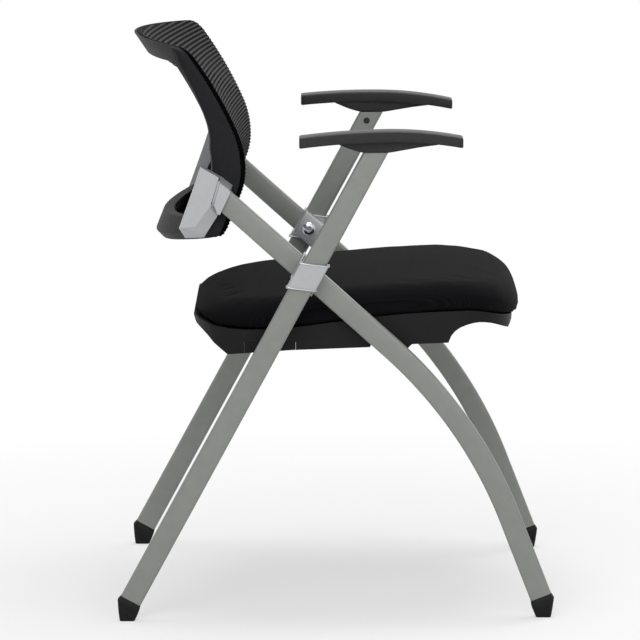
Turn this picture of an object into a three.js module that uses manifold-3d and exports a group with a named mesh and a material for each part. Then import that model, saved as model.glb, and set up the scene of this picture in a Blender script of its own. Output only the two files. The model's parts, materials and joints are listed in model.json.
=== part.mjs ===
// Folding nesting chair with a ribbed mesh back, arm pads and a tip-up seat.
// Millimetres, +X is the way the sitter faces, +Y the sitter's left, +Z up.
// The origin lies on the floor under the middle of the chair's outline.

import * as THREE from 'three';
import { mergeVertices } from 'three/addons/utils/BufferGeometryUtils.js';
import Module from 'manifold-3d';

const wasm = await Module();
wasm.setup();

// Running clearances

const seatGap = 0.3;
const turnGap = 0.6;
const cutOverrun = 4;
const weldTolerance = 0.0001;

// Frame: two rear legs that rise to the arms cross two front legs that rise to the back

const pivotHeight = 476.4;
const pivotSetback = 38.4;
const rearLegLean = THREE.MathUtils.degToRad(28.47);
const upperTubeLean = THREE.MathUtils.degToRad(48.2);
const lowerTubeLean = THREE.MathUtils.degToRad(21.3);
const frontBendStart = 151.5;
const frontBendRadius = 623;
const backTubeLength = 176;
const rearLegSpread = 561;
const frontLegSpread = 510;
const tubeWidth = 30;
const tubeThickness = 15;
const tubeCorner = 4;
const tubeWall = 1.6;

// Cross tubes and where they meet the legs

const crossbarDiameter = 16;
const crossbarWall = 1.5;
const rearCrossbarDrop = 96.3;
const frontCrossbarDrop = 91.4;

// Sleeves, bolts and washers at the crossing

const sleeveWall = 3;
const sleeveLength = 40;
const frontSleeveLength = 38;
const sleeveEndSlope = THREE.MathUtils.degToRad(7);
const boltDiameter = 8;
const boltHeadDiameter = 20;
const boltHeadHeight = 5;
const boltSocketAcross = 6;
const boltSocketDepth = 3.2;
const nutAcross = 13;
const nutHeight = 6.5;
const washerDiameter = 24;
const spacerWall = 2;

// Feet

const footCollarHeight = 28.5;
const footAimHeight = 19;
const footCollarLip = 1.6;
const footCollarDrop = 7;
const footSoleLength = 20;
const footSoleWidth = 13;
const footSpigotLength = 22;

// Arm pads

const armLength = 222;
const armCentre = 61;
const armCrestHeight = 675.5;
const armEndDrop = 8;
const armWidth = 44;
const armThickness = 13;
const armKeelDepth = 14.1;
const armSocketHeight = armCrestHeight - armThickness - armKeelDepth;
const armOffset = 5.6;
const armToeIn = THREE.MathUtils.degToRad(8.3);
const armEdgeRadius = 4;
const keelFrontReach = 76;
const keelRearReach = 58;
const keelFlat = 35;
const keelWidth = 19;
const armSpigotLength = 44;
const armSpigotGap = 0.9;
const armScrewDrop = 15;
const armScrewDiameter = 9;
const armScrewHead = 1.4;
const armScrewShank = 4.5;
const armScrewDepth = 9;

// Back: a bowed loop whose front edge is drawn by arcs round the lumbar crest

const backHalfWidth = 243.5;
const backTop = 784;
const backBottom = 524;
const crestHeight = 618;
const crestSetback = 122.4;
const crestUpperRadius = 130;
const crestUpperTurn = THREE.MathUtils.degToRad(24);
const backUpperRadius = 560;
const topCrown = 5;
const crestLowerRadius = 90;
const backLowerLean = THREE.MathUtils.degToRad(21.5);
const topBow = 68;
const waistBow = 18;
const bottomBow = 50;
const topBowLevel = 754;
const waistLevel = 670;
const lumbarLevel = 620;
const bottomBowLevel = 545;
const backCorner = 12;
const railWidth = 18.5;
const railDepth = 39;
const railUpperDepth = 28;
const railTopDepth = 12;
const railTaperStart = 645;
const railTaperEnd = 700;
const railChamfer = 3;
const topRailHeight = 29;
const beamThickness = 12;
const beamTop = 542;
const beamDroop = 24;
const carrierDepth = 4.2;
const railTwistRoom = 0.32;
const carrierWidth = 16;
const meshThickness = 1.2;
const meshRows = 22;
const meshColumns = 8;
const meshSlotHeight = 5;
const meshRib = 5;

// Castings that hold the back on the front legs' upper ends

const bracketFace = 264.2;
const bracketWaist = 253;
const bossWall = 5.7;
const bracketHeight = 99.3;
const bracketLength = 73;
const bracketFoot = 525.4;
const bracketHeel = 214;
const backScrewHead = 8;
const backScrewShank = 4.5;
const backScrewHeadHeight = 3;
const backScrewBite = 9;
const backScrewFirst = 13;
const backScrewPitch = 23;

// Seat shell, board and cushion

const seatLength = 432;
const seatRear = 194;
const seamLow = 395.5;
const seamRise = 26;
const seatSideRoom = 16.5;
const shellWall = 3;
const shellPlate = 3.5;
const rimDrop = 2;
const shellCorner = 85;
const skirtDepth = 31;
const boardThickness = 8;
const boardInset = 38;
const boardCorner = 80;
const cushionLength = 450;
const cushionSideSwell = 2;
const cushionOverhang = 3;
const cushionRise = 64.5;
const cushionCrown = 6;
const cushionTuck = 5;
const cushionRoll = 24;
const cushionShape = 4.5;
const ribDepth = 5;
const ribThickness = 2.4;

// Seat bearings on the rear cross tube and hooks over the front one

const bushWall = 1.5;
const bearingLength = 71;
const bearingWidth = 17;
const hookPlate = 20;
const hookFrontReach = 42;
const hookRearReach = 27;
const hookBelow = 16.5;
const hookChamfer = 6.6;
const hookInset = 14;
const throatGap = 2;
const hookCoverage = THREE.MathUtils.degToRad(50);
const hookFlare = THREE.MathUtils.degToRad(28);
const smallScrewHead = 8;
const smallScrewShank = 4;
const smallScrewHeadHeight = 2.4;
const seatScrewEndInset = 96;
const seatScrewSideInset = 81;

// Places worked out from the sizes above

const pivot = new THREE.Vector2(-pivotSetback, pivotHeight);
const rearAxis = new THREE.Vector2(Math.sin(rearLegLean), Math.cos(rearLegLean));
const frontAxis = new THREE.Vector2(Math.sin(upperTubeLean), -Math.cos(upperTubeLean));
const rearCrossbar = pointOnAxis(rearAxis, -rearCrossbarDrop / rearAxis.y);
const frontCrossbar = pointOnAxis(frontAxis, -frontCrossbarDrop / frontAxis.y);
const crossbarRadius = crossbarDiameter / 2;
const rearTubeInner = rearLegSpread / 2 - tubeThickness / 2;
const rearTubeOuter = rearTubeInner + tubeThickness;
const frontTubeInner = frontLegSpread / 2 - tubeThickness / 2;
const frontTubeOuter = frontTubeInner + tubeThickness;
const shellHalfWidth = frontTubeInner - seatSideRoom;
const cushionHalfWidth = shellHalfWidth + cushionSideSwell;
const seatScrewReach = seatLength / 2 - seatScrewEndInset;
const seatScrewSpread = shellHalfWidth - seatScrewSideInset;
const sleeveSpan = tubeWidth + 2 * (sleeveWall + seatGap);
const frontSleeveInner = frontTubeInner - seatGap - sleeveWall;
const frontSleeveOuter = frontTubeOuter + seatGap + sleeveWall;
const rearSleeveInner = rearTubeInner - seatGap - sleeveWall;
const rearSleeveOuter = rearTubeOuter + seatGap + sleeveWall;
const boltHole = boltDiameter + 2 * seatGap;

// Colours and finishes

function finish(color, roughness, metalness) {
  return new THREE.MeshStandardMaterial({ color, roughness, metalness });
}

const greySteel = finish(0x8b8f89, 0.5, 0.3);
const castSilver = finish(0xc2c5c7, 0.3, 0.8);
const brightSteel = finish(0xb4b8bc, 0.25, 0.9);
const darkPlastic = finish(0x3a3a3c, 0.6, 0);
const blackPlastic = finish(0x1d1d1f, 0.55, 0);
const blackFabric = finish(0x141416, 0.95, 0);
const meshFabric = finish(0x26272a, 0.9, 0);
const plywood = finish(0xb08a5c, 0.7, 0);
const nylon = finish(0xd8d8d2, 0.5, 0);

// Shape helpers

function pointOnAxis(axis, distance) {
  return new THREE.Vector2(
    -pivotSetback + axis.x * distance,
    pivotHeight + axis.y * distance,
  );
}

function solidOf(geometry) {
  const plain = geometry.clone();
  plain.deleteAttribute('normal');
  plain.deleteAttribute('uv');
  const merged = mergeVertices(plain, weldTolerance);
  return new wasm.Manifold(new wasm.Mesh({
    numProp: 3,
    vertProperties: new Float32Array(merged.attributes.position.array),
    triVerts: new Uint32Array(merged.index.array),
  }));
}

function geometryOf(solid) {
  const mesh = solid.getMesh();
  const geometry = new THREE.BufferGeometry();
  geometry.setAttribute('position', new THREE.BufferAttribute(mesh.vertProperties, 3));
  geometry.setIndex(new THREE.BufferAttribute(mesh.triVerts, 1));
  return geometry;
}

function cut(geometry, ...tools) {
  return geometryOf(tools.reduce((body, tool) => body.subtract(solidOf(tool)), solidOf(geometry)));
}

function join(geometry, ...others) {
  return geometryOf(others.reduce((body, other) => body.add(solidOf(other)), solidOf(geometry)));
}

function common(geometry, other) {
  return geometryOf(solidOf(geometry).intersect(solidOf(other)));
}

// The same solid on the sitter's other side
function mirrored(geometry) {
  const plain = geometry.index ? geometry.toNonIndexed() : geometry.clone();
  const source = plain.attributes.position;
  const flipped = new Float32Array(source.count * 3);
  for (let i = 0; i < source.count; i += 1) {
    const turn = [0, 2, 1][i % 3];
    const from = i - (i % 3) + turn;
    flipped.set([source.getX(from), -source.getY(from), source.getZ(from)], i * 3);
  }
  const geometryOut = new THREE.BufferGeometry();
  geometryOut.setAttribute('position', new THREE.BufferAttribute(flipped, 3));
  return geometryOut;
}

// An outline drawn in X and Z, as thick as the space between two Y planes
function sidePanel(shape, inner, outer, curveSegments = 12) {
  const geometry = new THREE.ExtrudeGeometry(shape, {
    depth: outer - inner,
    bevelEnabled: false,
    curveSegments,
  });
  geometry.rotateX(Math.PI / 2);
  geometry.translate(0, outer, 0);
  return geometry;
}

// An outline drawn in X and Y, as tall as the space between two heights
function planSlab(shape, low, high, curveSegments = 6) {
  const geometry = new THREE.ExtrudeGeometry(shape, {
    depth: high - low,
    bevelEnabled: false,
    curveSegments,
  });
  geometry.translate(0, 0, low);
  return geometry;
}

function circleShape(centre, radius) {
  const shape = new THREE.Shape();
  shape.absarc(centre.x, centre.y, radius, 0, Math.PI * 2, false);
  return shape;
}

function crossRod(centre, radius, inner, outer, curveSegments = 8) {
  return sidePanel(circleShape(centre, radius), inner, outer, curveSegments);
}

function crossPipe(centre, radius, bore, inner, outer, curveSegments = 10) {
  const shape = circleShape(centre, radius);
  shape.holes.push(circleShape(centre, bore));
  return sidePanel(shape, inner, outer, curveSegments);
}

function polygonShape(points) {
  return new THREE.Shape(points.map((point) => new THREE.Vector2(point[0], point[1])));
}

// A block along an axis in the XZ plane: from one distance to another, so wide across the axis
function axisBlock(origin, axis, from, to, width, inner, outer) {
  const across = new THREE.Vector2(axis.y, -axis.x);
  const corner = (distance, side) => [
    origin.x + axis.x * distance + across.x * side,
    origin.y + axis.y * distance + across.y * side,
  ];
  const half = width / 2;
  const outline = [corner(from, -half), corner(from, half), corner(to, half), corner(to, -half)];
  return sidePanel(polygonShape(outline), inner, outer);
}

function roundedRectangle(width, height, radius) {
  const shape = new THREE.Shape();
  const x = width / 2;
  const y = height / 2;
  shape.moveTo(-x + radius, -y);
  shape.lineTo(x - radius, -y);
  shape.absarc(x - radius, -y + radius, radius, -Math.PI / 2, 0, false);
  shape.absarc(x - radius, y - radius, radius, 0, Math.PI / 2, false);
  shape.absarc(-x + radius, y - radius, radius, Math.PI / 2, Math.PI, false);
  shape.absarc(-x + radius, -y + radius, radius, Math.PI, Math.PI * 1.5, false);
  shape.closePath();
  return shape;
}

// A closed body through rings of the same count of points, with flat end faces
function loft(rings) {
  const count = rings[0].length;
  const vertices = rings.flat().flatMap((point) => [point.x, point.y, point.z]);
  const indices = [];
  for (let ring = 0; ring + 1 < rings.length; ring += 1) {
    for (let i = 0; i < count; i += 1) {
      const next = (i + 1) % count;
      const a = ring * count + i;
      const b = ring * count + next;
      const c = a + count;
      const d = b + count;
      indices.push(a, b, d, a, d, c);
    }
  }
  const last = (rings.length - 1) * count;
  for (let i = 1; i + 1 < count; i += 1) {
    indices.push(0, i + 1, i);
    indices.push(last, last + i, last + i + 1);
  }
  return outward(vertices, indices);
}

// Triangles in the order that makes the enclosed volume positive
function outward(vertices, indices) {
  let volume = 0;
  const corner = [new THREE.Vector3(), new THREE.Vector3(), new THREE.Vector3()];
  for (let i = 0; i < indices.length; i += 3) {
    corner.forEach((point, k) => point.fromArray(vertices, indices[i + k] * 3));
    volume += corner[0].dot(corner[1].clone().cross(corner[2]));
  }
  if (volume < 0) {
    for (let i = 0; i < indices.length; i += 3) {
      [indices[i + 1], indices[i + 2]] = [indices[i + 2], indices[i + 1]];
    }
  }
  const geometry = new THREE.BufferGeometry();
  geometry.setAttribute('position', new THREE.Float32BufferAttribute(vertices, 3));
  geometry.setIndex(indices);
  return geometry;
}

// A path in a vertical plane that a tube follows, with one section at each station
class StationPath extends THREE.Curve {
  constructor(stations, plane) {
    super();
    this.stations = stations;
    this.plane = plane;
  }

  getPoint(t, target = new THREE.Vector3()) {
    const place = Math.min(t, 1) * (this.stations.length - 1);
    const index = Math.min(Math.floor(place), this.stations.length - 2);
    const point = this.stations[index].clone().lerp(this.stations[index + 1], place - index);
    return target.set(point.x, this.plane, point.y);
  }

  getPointAt(t, target) {
    return this.getPoint(t, target);
  }

  getTangentAt(t, target = new THREE.Vector3()) {
    const last = this.stations.length - 1;
    const index = Math.round(t * last);
    const before = this.stations[Math.max(index - 1, 0)];
    const here = this.stations[index];
    const after = this.stations[Math.min(index + 1, last)];
    const into = here.clone().sub(before).normalize();
    const out = after.clone().sub(here).normalize();
    const mean = into.add(out).normalize();
    return target.set(mean.x, 0, mean.y);
  }
}

// Legs

function legSection() {
  const section = roundedRectangle(tubeThickness, tubeWidth, tubeCorner);
  section.holes.push(roundedRectangle(
    tubeThickness - 2 * tubeWall,
    tubeWidth - 2 * tubeWall,
    tubeCorner - tubeWall,
  ));
  return section;
}

function legTube(stations, plane) {
  const path = new StationPath(stations, plane);
  return new THREE.ExtrudeGeometry(legSection(), {
    steps: stations.length - 1,
    extrudePath: path,
    curveSegments: 2,
  });
}

// Centre line of a front leg from its foot collar up to the end in the casting
function frontLegLine() {
  const bendFrom = pointOnAxis(frontAxis, frontBendStart);
  const centre = new THREE.Vector2(
    bendFrom.x - frontBendRadius * Math.cos(upperTubeLean),
    bendFrom.y - frontBendRadius * Math.sin(upperTubeLean),
  );
  const bendSteps = 8;
  const line = [pointOnAxis(frontAxis, -backTubeLength)];
  for (let i = 0; i <= bendSteps; i += 1) {
    const angle = THREE.MathUtils.lerp(upperTubeLean, lowerTubeLean, i / bendSteps);
    line.push(new THREE.Vector2(
      centre.x + frontBendRadius * Math.cos(angle),
      centre.y + frontBendRadius * Math.sin(angle),
    ));
  }
  const bendTo = line[line.length - 1];
  const run = (bendTo.y - footCollarHeight) / Math.cos(lowerTubeLean);
  line.push(new THREE.Vector2(
    bendTo.x + Math.sin(lowerTubeLean) * run,
    bendTo.y - Math.cos(lowerTubeLean) * run,
  ));
  return line;
}

function frontLeg() {
  const plane = frontLegSpread / 2;
  const tube = legTube(frontLegLine(), plane);
  const drill = crossRod(pivot, boltHole / 2, frontTubeInner - cutOverrun, frontTubeOuter + cutOverrun);
  return cut(tube, drill);
}

function rearLeg() {
  const plane = rearLegSpread / 2;
  const footEnd = pointOnAxis(rearAxis, (footCollarHeight - pivotHeight) / rearAxis.y);
  const top = pointOnAxis(rearAxis, (armSocketHeight + tubeWidth - pivotHeight) / rearAxis.y);
  const tube = legTube([footEnd, top], plane);
  const boltDrill = crossRod(pivot, boltHole / 2, rearTubeInner - cutOverrun, plane);
  const screwDrill = crossRod(armScrewPlace(), armScrewShank / 2 + seatGap,
    rearTubeInner - cutOverrun, plane);
  const topCut = polygonShape([
    [top.x - tubeWidth * 2, armSocketHeight],
    [top.x + tubeWidth * 2, armSocketHeight],
    [top.x + tubeWidth * 2, armSocketHeight + tubeWidth * 3],
    [top.x - tubeWidth * 2, armSocketHeight + tubeWidth * 3],
  ]);
  const trim = sidePanel(topCut, rearTubeInner - cutOverrun, rearTubeOuter + cutOverrun);
  return cut(tube, boltDrill, screwDrill, trim);
}

function crossTube(place, reach) {
  return crossPipe(place, crossbarRadius, crossbarRadius - crossbarWall, -reach, reach);
}

// A foot: a spigot in the tube, a collar under its end and a block that tapers to a level sole
function footCap(axis, collar, plane) {
  const across = new THREE.Vector2(axis.y, -axis.x);
  const ring = (centre, halfAcross, halfThick, chamfer, level) => {
    const corners = [
      [-1, -1, 0, 1], [-1, -1, 1, 0], [1, -1, -1, 0], [1, -1, 0, 1],
      [1, 1, 0, -1], [1, 1, -1, 0], [-1, 1, 1, 0], [-1, 1, 0, -1],
    ];
    return corners.map(([a, t, da, dt]) => {
      const side = a * halfAcross + da * chamfer;
      const y = plane + t * halfThick + dt * chamfer;
      if (level) {
        return new THREE.Vector3(centre.x + side, y, centre.y);
      }
      return new THREE.Vector3(centre.x + across.x * side, y, centre.y + across.y * side);
    });
  };
  const along = (distance) => collar.clone().addScaledVector(axis, distance);
  const sole = along((footAimHeight - collar.y) / axis.y);
  sole.y = 0;
  const halfTube = tubeWidth / 2;
  const halfThick = tubeThickness / 2;
  const bore = tubeWall + seatGap;
  const chamfer = tubeCorner / 2;
  return loft([
    ring(along(footSpigotLength), halfTube - bore - seatGap, halfThick - bore - seatGap, chamfer / 2, false),
    ring(along(-seatGap), halfTube - bore, halfThick - bore, chamfer / 2, false),
    ring(along(-seatGap), halfTube, halfThick, chamfer, false),
    ring(along(-footCollarDrop), halfTube + footCollarLip, halfThick + footCollarLip, chamfer, false),
    ring(sole, footSoleLength / 2, footSoleWidth / 2, chamfer, true),
  ]);
}

function rearFoot() {
  const collar = pointOnAxis(rearAxis, (footCollarHeight - pivotHeight) / rearAxis.y);
  return footCap(rearAxis, collar, rearLegSpread / 2);
}

function frontFoot() {
  const line = frontLegLine();
  const axis = new THREE.Vector2(-Math.sin(lowerTubeLean), Math.cos(lowerTubeLean));
  return footCap(axis, line[line.length - 1], frontLegSpread / 2);
}

// Crossing: a cast sleeve round each tube, joined by one bolt with a washer between

function sleeveOutline(axis, endDirection, length) {
  const across = new THREE.Vector2(axis.y, -axis.x);
  const reach = sleeveSpan / 2 / endDirection.dot(across);
  const corner = (end, side) => [
    pivot.x + axis.x * end * length / 2 + endDirection.x * side * reach,
    pivot.y + axis.y * end * length / 2 + endDirection.y * side * reach,
  ];
  return polygonShape([corner(-1, -1), corner(-1, 1), corner(1, 1), corner(1, -1)]);
}

function rearSleeve() {
  const endDirection = new THREE.Vector2(Math.cos(sleeveEndSlope), -Math.sin(sleeveEndSlope));
  const outline = sleeveOutline(rearAxis, endDirection, sleeveLength);
  const block = sidePanel(outline, rearSleeveInner, rearSleeveOuter);
  const bore = axisBlock(pivot, rearAxis, -sleeveLength, sleeveLength, tubeWidth + 2 * seatGap,
    rearTubeInner - seatGap, rearTubeOuter + seatGap);
  const drill = crossRod(pivot, boltHole / 2, rearSleeveInner - cutOverrun, rearLegSpread / 2);
  return cut(block, bore, drill);
}

function frontSleeve() {
  const outline = sleeveOutline(frontAxis, rearAxis, frontSleeveLength);
  const block = sidePanel(outline, frontSleeveInner, frontSleeveOuter);
  const bore = axisBlock(pivot, frontAxis, -sleeveLength, sleeveLength, tubeWidth + 2 * seatGap,
    frontTubeInner - seatGap, frontTubeOuter + seatGap);
  const drill = crossRod(pivot, boltHole / 2, frontSleeveInner - cutOverrun, frontSleeveOuter + cutOverrun);
  return cut(block, bore, drill);
}

function pivotSpacer() {
  const bore = boltHole / 2;
  const inner = frontTubeInner + tubeWall + seatGap;
  const outer = frontTubeOuter - tubeWall - seatGap;
  return crossPipe(pivot, bore + spacerWall, bore, inner, outer, 6);
}

function pivotWasher() {
  const bore = boltHole / 2;
  return crossPipe(pivot, washerDiameter / 2, bore, frontSleeveOuter + seatGap, rearSleeveInner - seatGap, 8);
}

function atPivot(geometry) {
  geometry.translate(pivot.x, 0, pivot.y);
  return geometry;
}

// Button-head bolt, head towards the seat, shank out to the nut inside the rear leg
function pivotBolt() {
  const headBase = frontSleeveInner - seatGap;
  const headTop = headBase - boltHeadHeight;
  const tip = nutPlace() + nutHeight + seatGap;
  const shank = boltDiameter / 2;
  const head = boltHeadDiameter / 2;
  const rim = boltHeadHeight * 0.3;
  const profile = [
    new THREE.Vector2(0, headTop),
    new THREE.Vector2(head * 0.5, headTop),
    new THREE.Vector2(head * 0.82, headTop + boltHeadHeight * 0.28),
    new THREE.Vector2(head, headBase - rim),
    new THREE.Vector2(head, headBase),
    new THREE.Vector2(shank, headBase),
    new THREE.Vector2(shank, tip),
    new THREE.Vector2(0, tip),
  ];
  const body = new THREE.LatheGeometry(profile, 24);
  const socket = new THREE.CylinderGeometry(
    boltSocketAcross / Math.sqrt(3),
    boltSocketAcross / Math.sqrt(3),
    boltSocketDepth + cutOverrun,
    6,
  );
  socket.translate(0, headTop + (boltSocketDepth - cutOverrun) / 2, 0);
  return atPivot(cut(body, socket));
}

function nutPlace() {
  return rearTubeInner + tubeWall + seatGap;
}

function pivotNut() {
  const nut = new THREE.CylinderGeometry(nutAcross / Math.sqrt(3), nutAcross / Math.sqrt(3), nutHeight, 6);
  const bore = new THREE.CylinderGeometry(boltHole / 2, boltHole / 2, nutHeight + cutOverrun, 16);
  const centre = nutPlace() + nutHeight / 2;
  nut.translate(0, centre, 0);
  bore.translate(0, centre, 0);
  return atPivot(cut(nut, bore));
}

// Arm pads

function armTop(x) {
  const share = (x - armCentre) / (armLength / 2);
  return armCrestHeight - armEndDrop * share * share;
}

function armScrewPlace() {
  return pointOnAxis(rearAxis, (armSocketHeight - armScrewDrop - pivotHeight) / rearAxis.y);
}

// One cross-section of the pad: a rounded bar whose long top edge is slightly crowned
function armRing(x, inset) {
  const middle = rearLegSpread / 2 + armOffset - (x - armCentre) * Math.tan(armToeIn);
  const inner = middle - armWidth / 2 + inset;
  const outer = middle + armWidth / 2 - inset;
  const top = armTop(x) - inset / 2;
  const bottom = armTop(x) - armThickness + inset / 2;
  const r = armEdgeRadius - inset / 4;
  const crown = armEdgeRadius / 4;
  const bend = r * (1 - Math.SQRT1_2);
  return [
    [inner + r, bottom], [outer - r, bottom],
    [outer - bend, bottom + bend], [outer, bottom + r],
    [outer, top - r], [outer - bend, top - bend], [outer - r, top],
    [middle, top + crown],
    [inner + r, top], [inner + bend, top - bend], [inner, top - r],
    [inner, bottom + r], [inner + bend, bottom + bend],
  ].map(([y, z]) => new THREE.Vector3(x, y, z));
}

function armBar() {
  const rear = armCentre - armLength / 2;
  const front = armCentre + armLength / 2;
  const lip = armEdgeRadius / 2;
  const steps = 12;
  const rings = [armRing(rear, lip)];
  for (let i = 0; i <= steps; i += 1) {
    rings.push(armRing(THREE.MathUtils.lerp(rear + lip, front - lip, i / steps), 0));
  }
  rings.push(armRing(front, lip));
  return loft(rings);
}

// The web under the pad that closes the tube's end, with the spigot that goes down inside it
function armKeel() {
  const seat = pointOnAxis(rearAxis, (armSocketHeight - pivotHeight) / rearAxis.y);
  const level = armSocketHeight + seatGap;
  const buried = (x) => armTop(x) - armThickness / 2;
  const rearEnd = seat.x - keelFlat / 2 - keelRearReach / 2;
  const frontEnd = seat.x + keelFlat / 2 + keelFrontReach;
  const lower = (x) => armTop(x) - armThickness - seatGap;
  const outline = polygonShape([
    [rearEnd, buried(rearEnd)],
    [rearEnd, lower(rearEnd)],
    [seat.x - keelFlat / 2, level],
    [seat.x + keelFlat / 2, level],
    [seat.x + keelFlat / 2 + keelFrontReach / 2, (level + lower(frontEnd) * 2) / 3],
    [frontEnd, lower(frontEnd)],
    [frontEnd, buried(frontEnd)],
    [seat.x, buried(seat.x)],
  ]);
  const middle = rearLegSpread / 2;
  const web = sidePanel(outline, middle - keelWidth / 2, middle + keelWidth / 2);
  const room = tubeWall + armSpigotGap;
  const spigot = axisBlock(seat, rearAxis, -armSpigotLength, keelFlat / 4, tubeWidth - 2 * room,
    rearTubeInner + room, rearTubeOuter - room);
  return join(web, spigot);
}

function armPad() {
  const bore = crossRod(armScrewPlace(), armScrewShank / 2 + seatGap,
    rearTubeInner, rearTubeInner + armScrewDepth + seatGap);
  return cut(join(armBar(), armKeel()), bore);
}

// A pan-head screw along Y: the head starts at one plane, the shank ends at another
function crossScrew(place, headPlane, tipPlane, headDiameter, headHeight, shankDiameter) {
  const way = Math.sign(tipPlane - headPlane);
  const seat = headPlane + way * headHeight;
  const profile = [
    new THREE.Vector2(0, headPlane),
    new THREE.Vector2(headDiameter * 0.36, headPlane),
    new THREE.Vector2(headDiameter / 2, headPlane + way * headHeight * 0.5),
    new THREE.Vector2(headDiameter / 2, seat),
    new THREE.Vector2(shankDiameter / 2, seat),
    new THREE.Vector2(shankDiameter / 2, tipPlane),
    new THREE.Vector2(0, tipPlane),
  ];
  const screw = new THREE.LatheGeometry(way > 0 ? profile : profile.reverse(), 16);
  screw.translate(place.x, 0, place.y);
  return screw;
}

function armScrew() {
  const headPlane = rearTubeInner - seatGap - armScrewHead;
  return crossScrew(armScrewPlace(), headPlane, rearTubeInner + armScrewDepth,
    armScrewDiameter, armScrewHead, armScrewShank);
}

// Back surfaces

// Front edge of the back at mid side: two arcs above the lumbar crest, one arc and a slope below
function backEdge(z) {
  const upperEnd = crestHeight + crestUpperRadius * Math.sin(crestUpperTurn);
  if (z > upperEnd) {
    const start = crestSetback + crestUpperRadius * (1 - Math.cos(crestUpperTurn));
    const sine = Math.sin(crestUpperTurn) + (z - upperEnd) / backUpperRadius;
    const cosine = Math.sqrt(Math.max(1 - sine * sine, 0));
    return -start - backUpperRadius * (Math.cos(crestUpperTurn) - cosine);
  }
  if (z > crestHeight) {
    const sine = (z - crestHeight) / crestUpperRadius;
    return -crestSetback - crestUpperRadius * (1 - Math.sqrt(1 - sine * sine));
  }
  const lowerEnd = crestHeight - crestLowerRadius * Math.sin(backLowerLean);
  if (z > lowerEnd) {
    const sine = (crestHeight - z) / crestLowerRadius;
    return -crestSetback - crestLowerRadius * (1 - Math.sqrt(1 - sine * sine));
  }
  const start = crestSetback + crestLowerRadius * (1 - Math.cos(backLowerLean));
  return -start - (lowerEnd - z) * Math.tan(backLowerLean);
}

// How far the back bows rearward between its two sides: deep at both ends, drawn flatter at the waist
function backBow(y, z) {
  const toTop = THREE.MathUtils.smoothstep(z, waistLevel, topBowLevel);
  const toBottom = 1 - THREE.MathUtils.smoothstep(z, bottomBowLevel, lumbarLevel);
  const depth = waistBow + (topBow - waistBow) * toTop + (bottomBow - waistBow) * toBottom;
  const share = Math.min(Math.abs(y) / backHalfWidth, 1);
  return depth * (1 - share * share);
}

function backPoint(y, z, behind) {
  return new THREE.Vector3(backEdge(z) - backBow(y, z) - behind, y, z);
}

const railFront = meshThickness + carrierDepth + 2 * (seatGap + railTwistRoom);

function railDepthAt(z) {
  if (z > backTop - topRailHeight) {
    const share = (z - backTop + topRailHeight) / topRailHeight;
    return THREE.MathUtils.lerp(railUpperDepth, railTopDepth, share);
  }
  return THREE.MathUtils.mapLinear(
    THREE.MathUtils.clamp(z, railTaperStart, railTaperEnd),
    railTaperStart, railTaperEnd, railDepth, railUpperDepth,
  );
}

// A block along X over the back's front view: round corners, a crowned top and room for the beam's droop
function backSilhouette() {
  const side = backHalfWidth + seatGap / 10;
  const flat = side - backCorner;
  const beamFoot = backBottom - beamDroop * 1.5;
  const shape = new THREE.Shape();
  shape.moveTo(side, backBottom + backCorner);
  shape.absarc(flat, backTop - backCorner, backCorner, 0, Math.PI / 2, false);
  shape.quadraticCurveTo(0, backTop + topCrown * 2.4, -flat, backTop);
  shape.absarc(-flat, backTop - backCorner, backCorner, Math.PI / 2, Math.PI, false);
  shape.absarc(-flat, backBottom + backCorner, backCorner, Math.PI, Math.PI * 1.5, false);
  shape.lineTo(railWidth - backHalfWidth, backBottom - railChamfer * 1.5);
  shape.lineTo(railWidth * 2 - backHalfWidth, beamFoot);
  shape.lineTo(backHalfWidth - railWidth * 2, beamFoot);
  shape.lineTo(backHalfWidth - railWidth, backBottom - railChamfer * 1.5);
  shape.absarc(flat, backBottom + backCorner, backCorner, -Math.PI / 2, 0, false);
  const rear = backEdge(backTop) - topBow - railDepth * 2;
  const block = new THREE.ExtrudeGeometry(shape, { depth: -rear, bevelEnabled: false, curveSegments: 5 });
  block.rotateX(Math.PI / 2);
  block.rotateZ(Math.PI / 2);
  block.translate(rear, 0, 0);
  return block;
}

// One side rail of the back, lofted through level slices
function sideRail() {
  const inner = backHalfWidth - railWidth;
  const outer = backHalfWidth;
  const steps = 24;
  const rings = [];
  for (let i = 0; i <= steps; i += 1) {
    const z = THREE.MathUtils.lerp(backBottom, backTop, i / steps);
    const front = railFront;
    const rear = railFront + railDepthAt(z);
    rings.push([
      [front, inner], [front, outer - railChamfer / 2], [front + railChamfer / 2, outer],
      [rear - railChamfer, outer], [rear, outer - railChamfer], [rear, inner + railChamfer / 2],
      [rear - railChamfer / 2, inner],
    ].map(([behind, y]) => backPoint(y, z, behind)));
  }
  return loft(rings);
}

// A bar from side to side, lofted through upright slices that the given corners draw
function bowedBar(reach, steps, corners) {
  const rings = [];
  for (let i = 0; i <= steps; i += 1) {
    const y = THREE.MathUtils.lerp(-reach, reach, i / steps);
    rings.push(corners(y).map(([z, behind]) => backPoint(y, z, behind)));
  }
  return loft(rings);
}

function topRail() {
  const low = backTop - topRailHeight;
  const thick = railTopDepth;
  return bowedBar(backHalfWidth - railChamfer, 16, (y) => {
    const share = y / backHalfWidth;
    const high = backTop + topCrown * (1 - share * share);
    return [
      [low, railFront], [high, railFront],
      [high, railFront + thick - railChamfer / 2], [high - railChamfer / 2, railFront + thick],
      [low + railChamfer, railFront + thick], [low, railFront + thick - railChamfer],
    ];
  });
}

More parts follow.
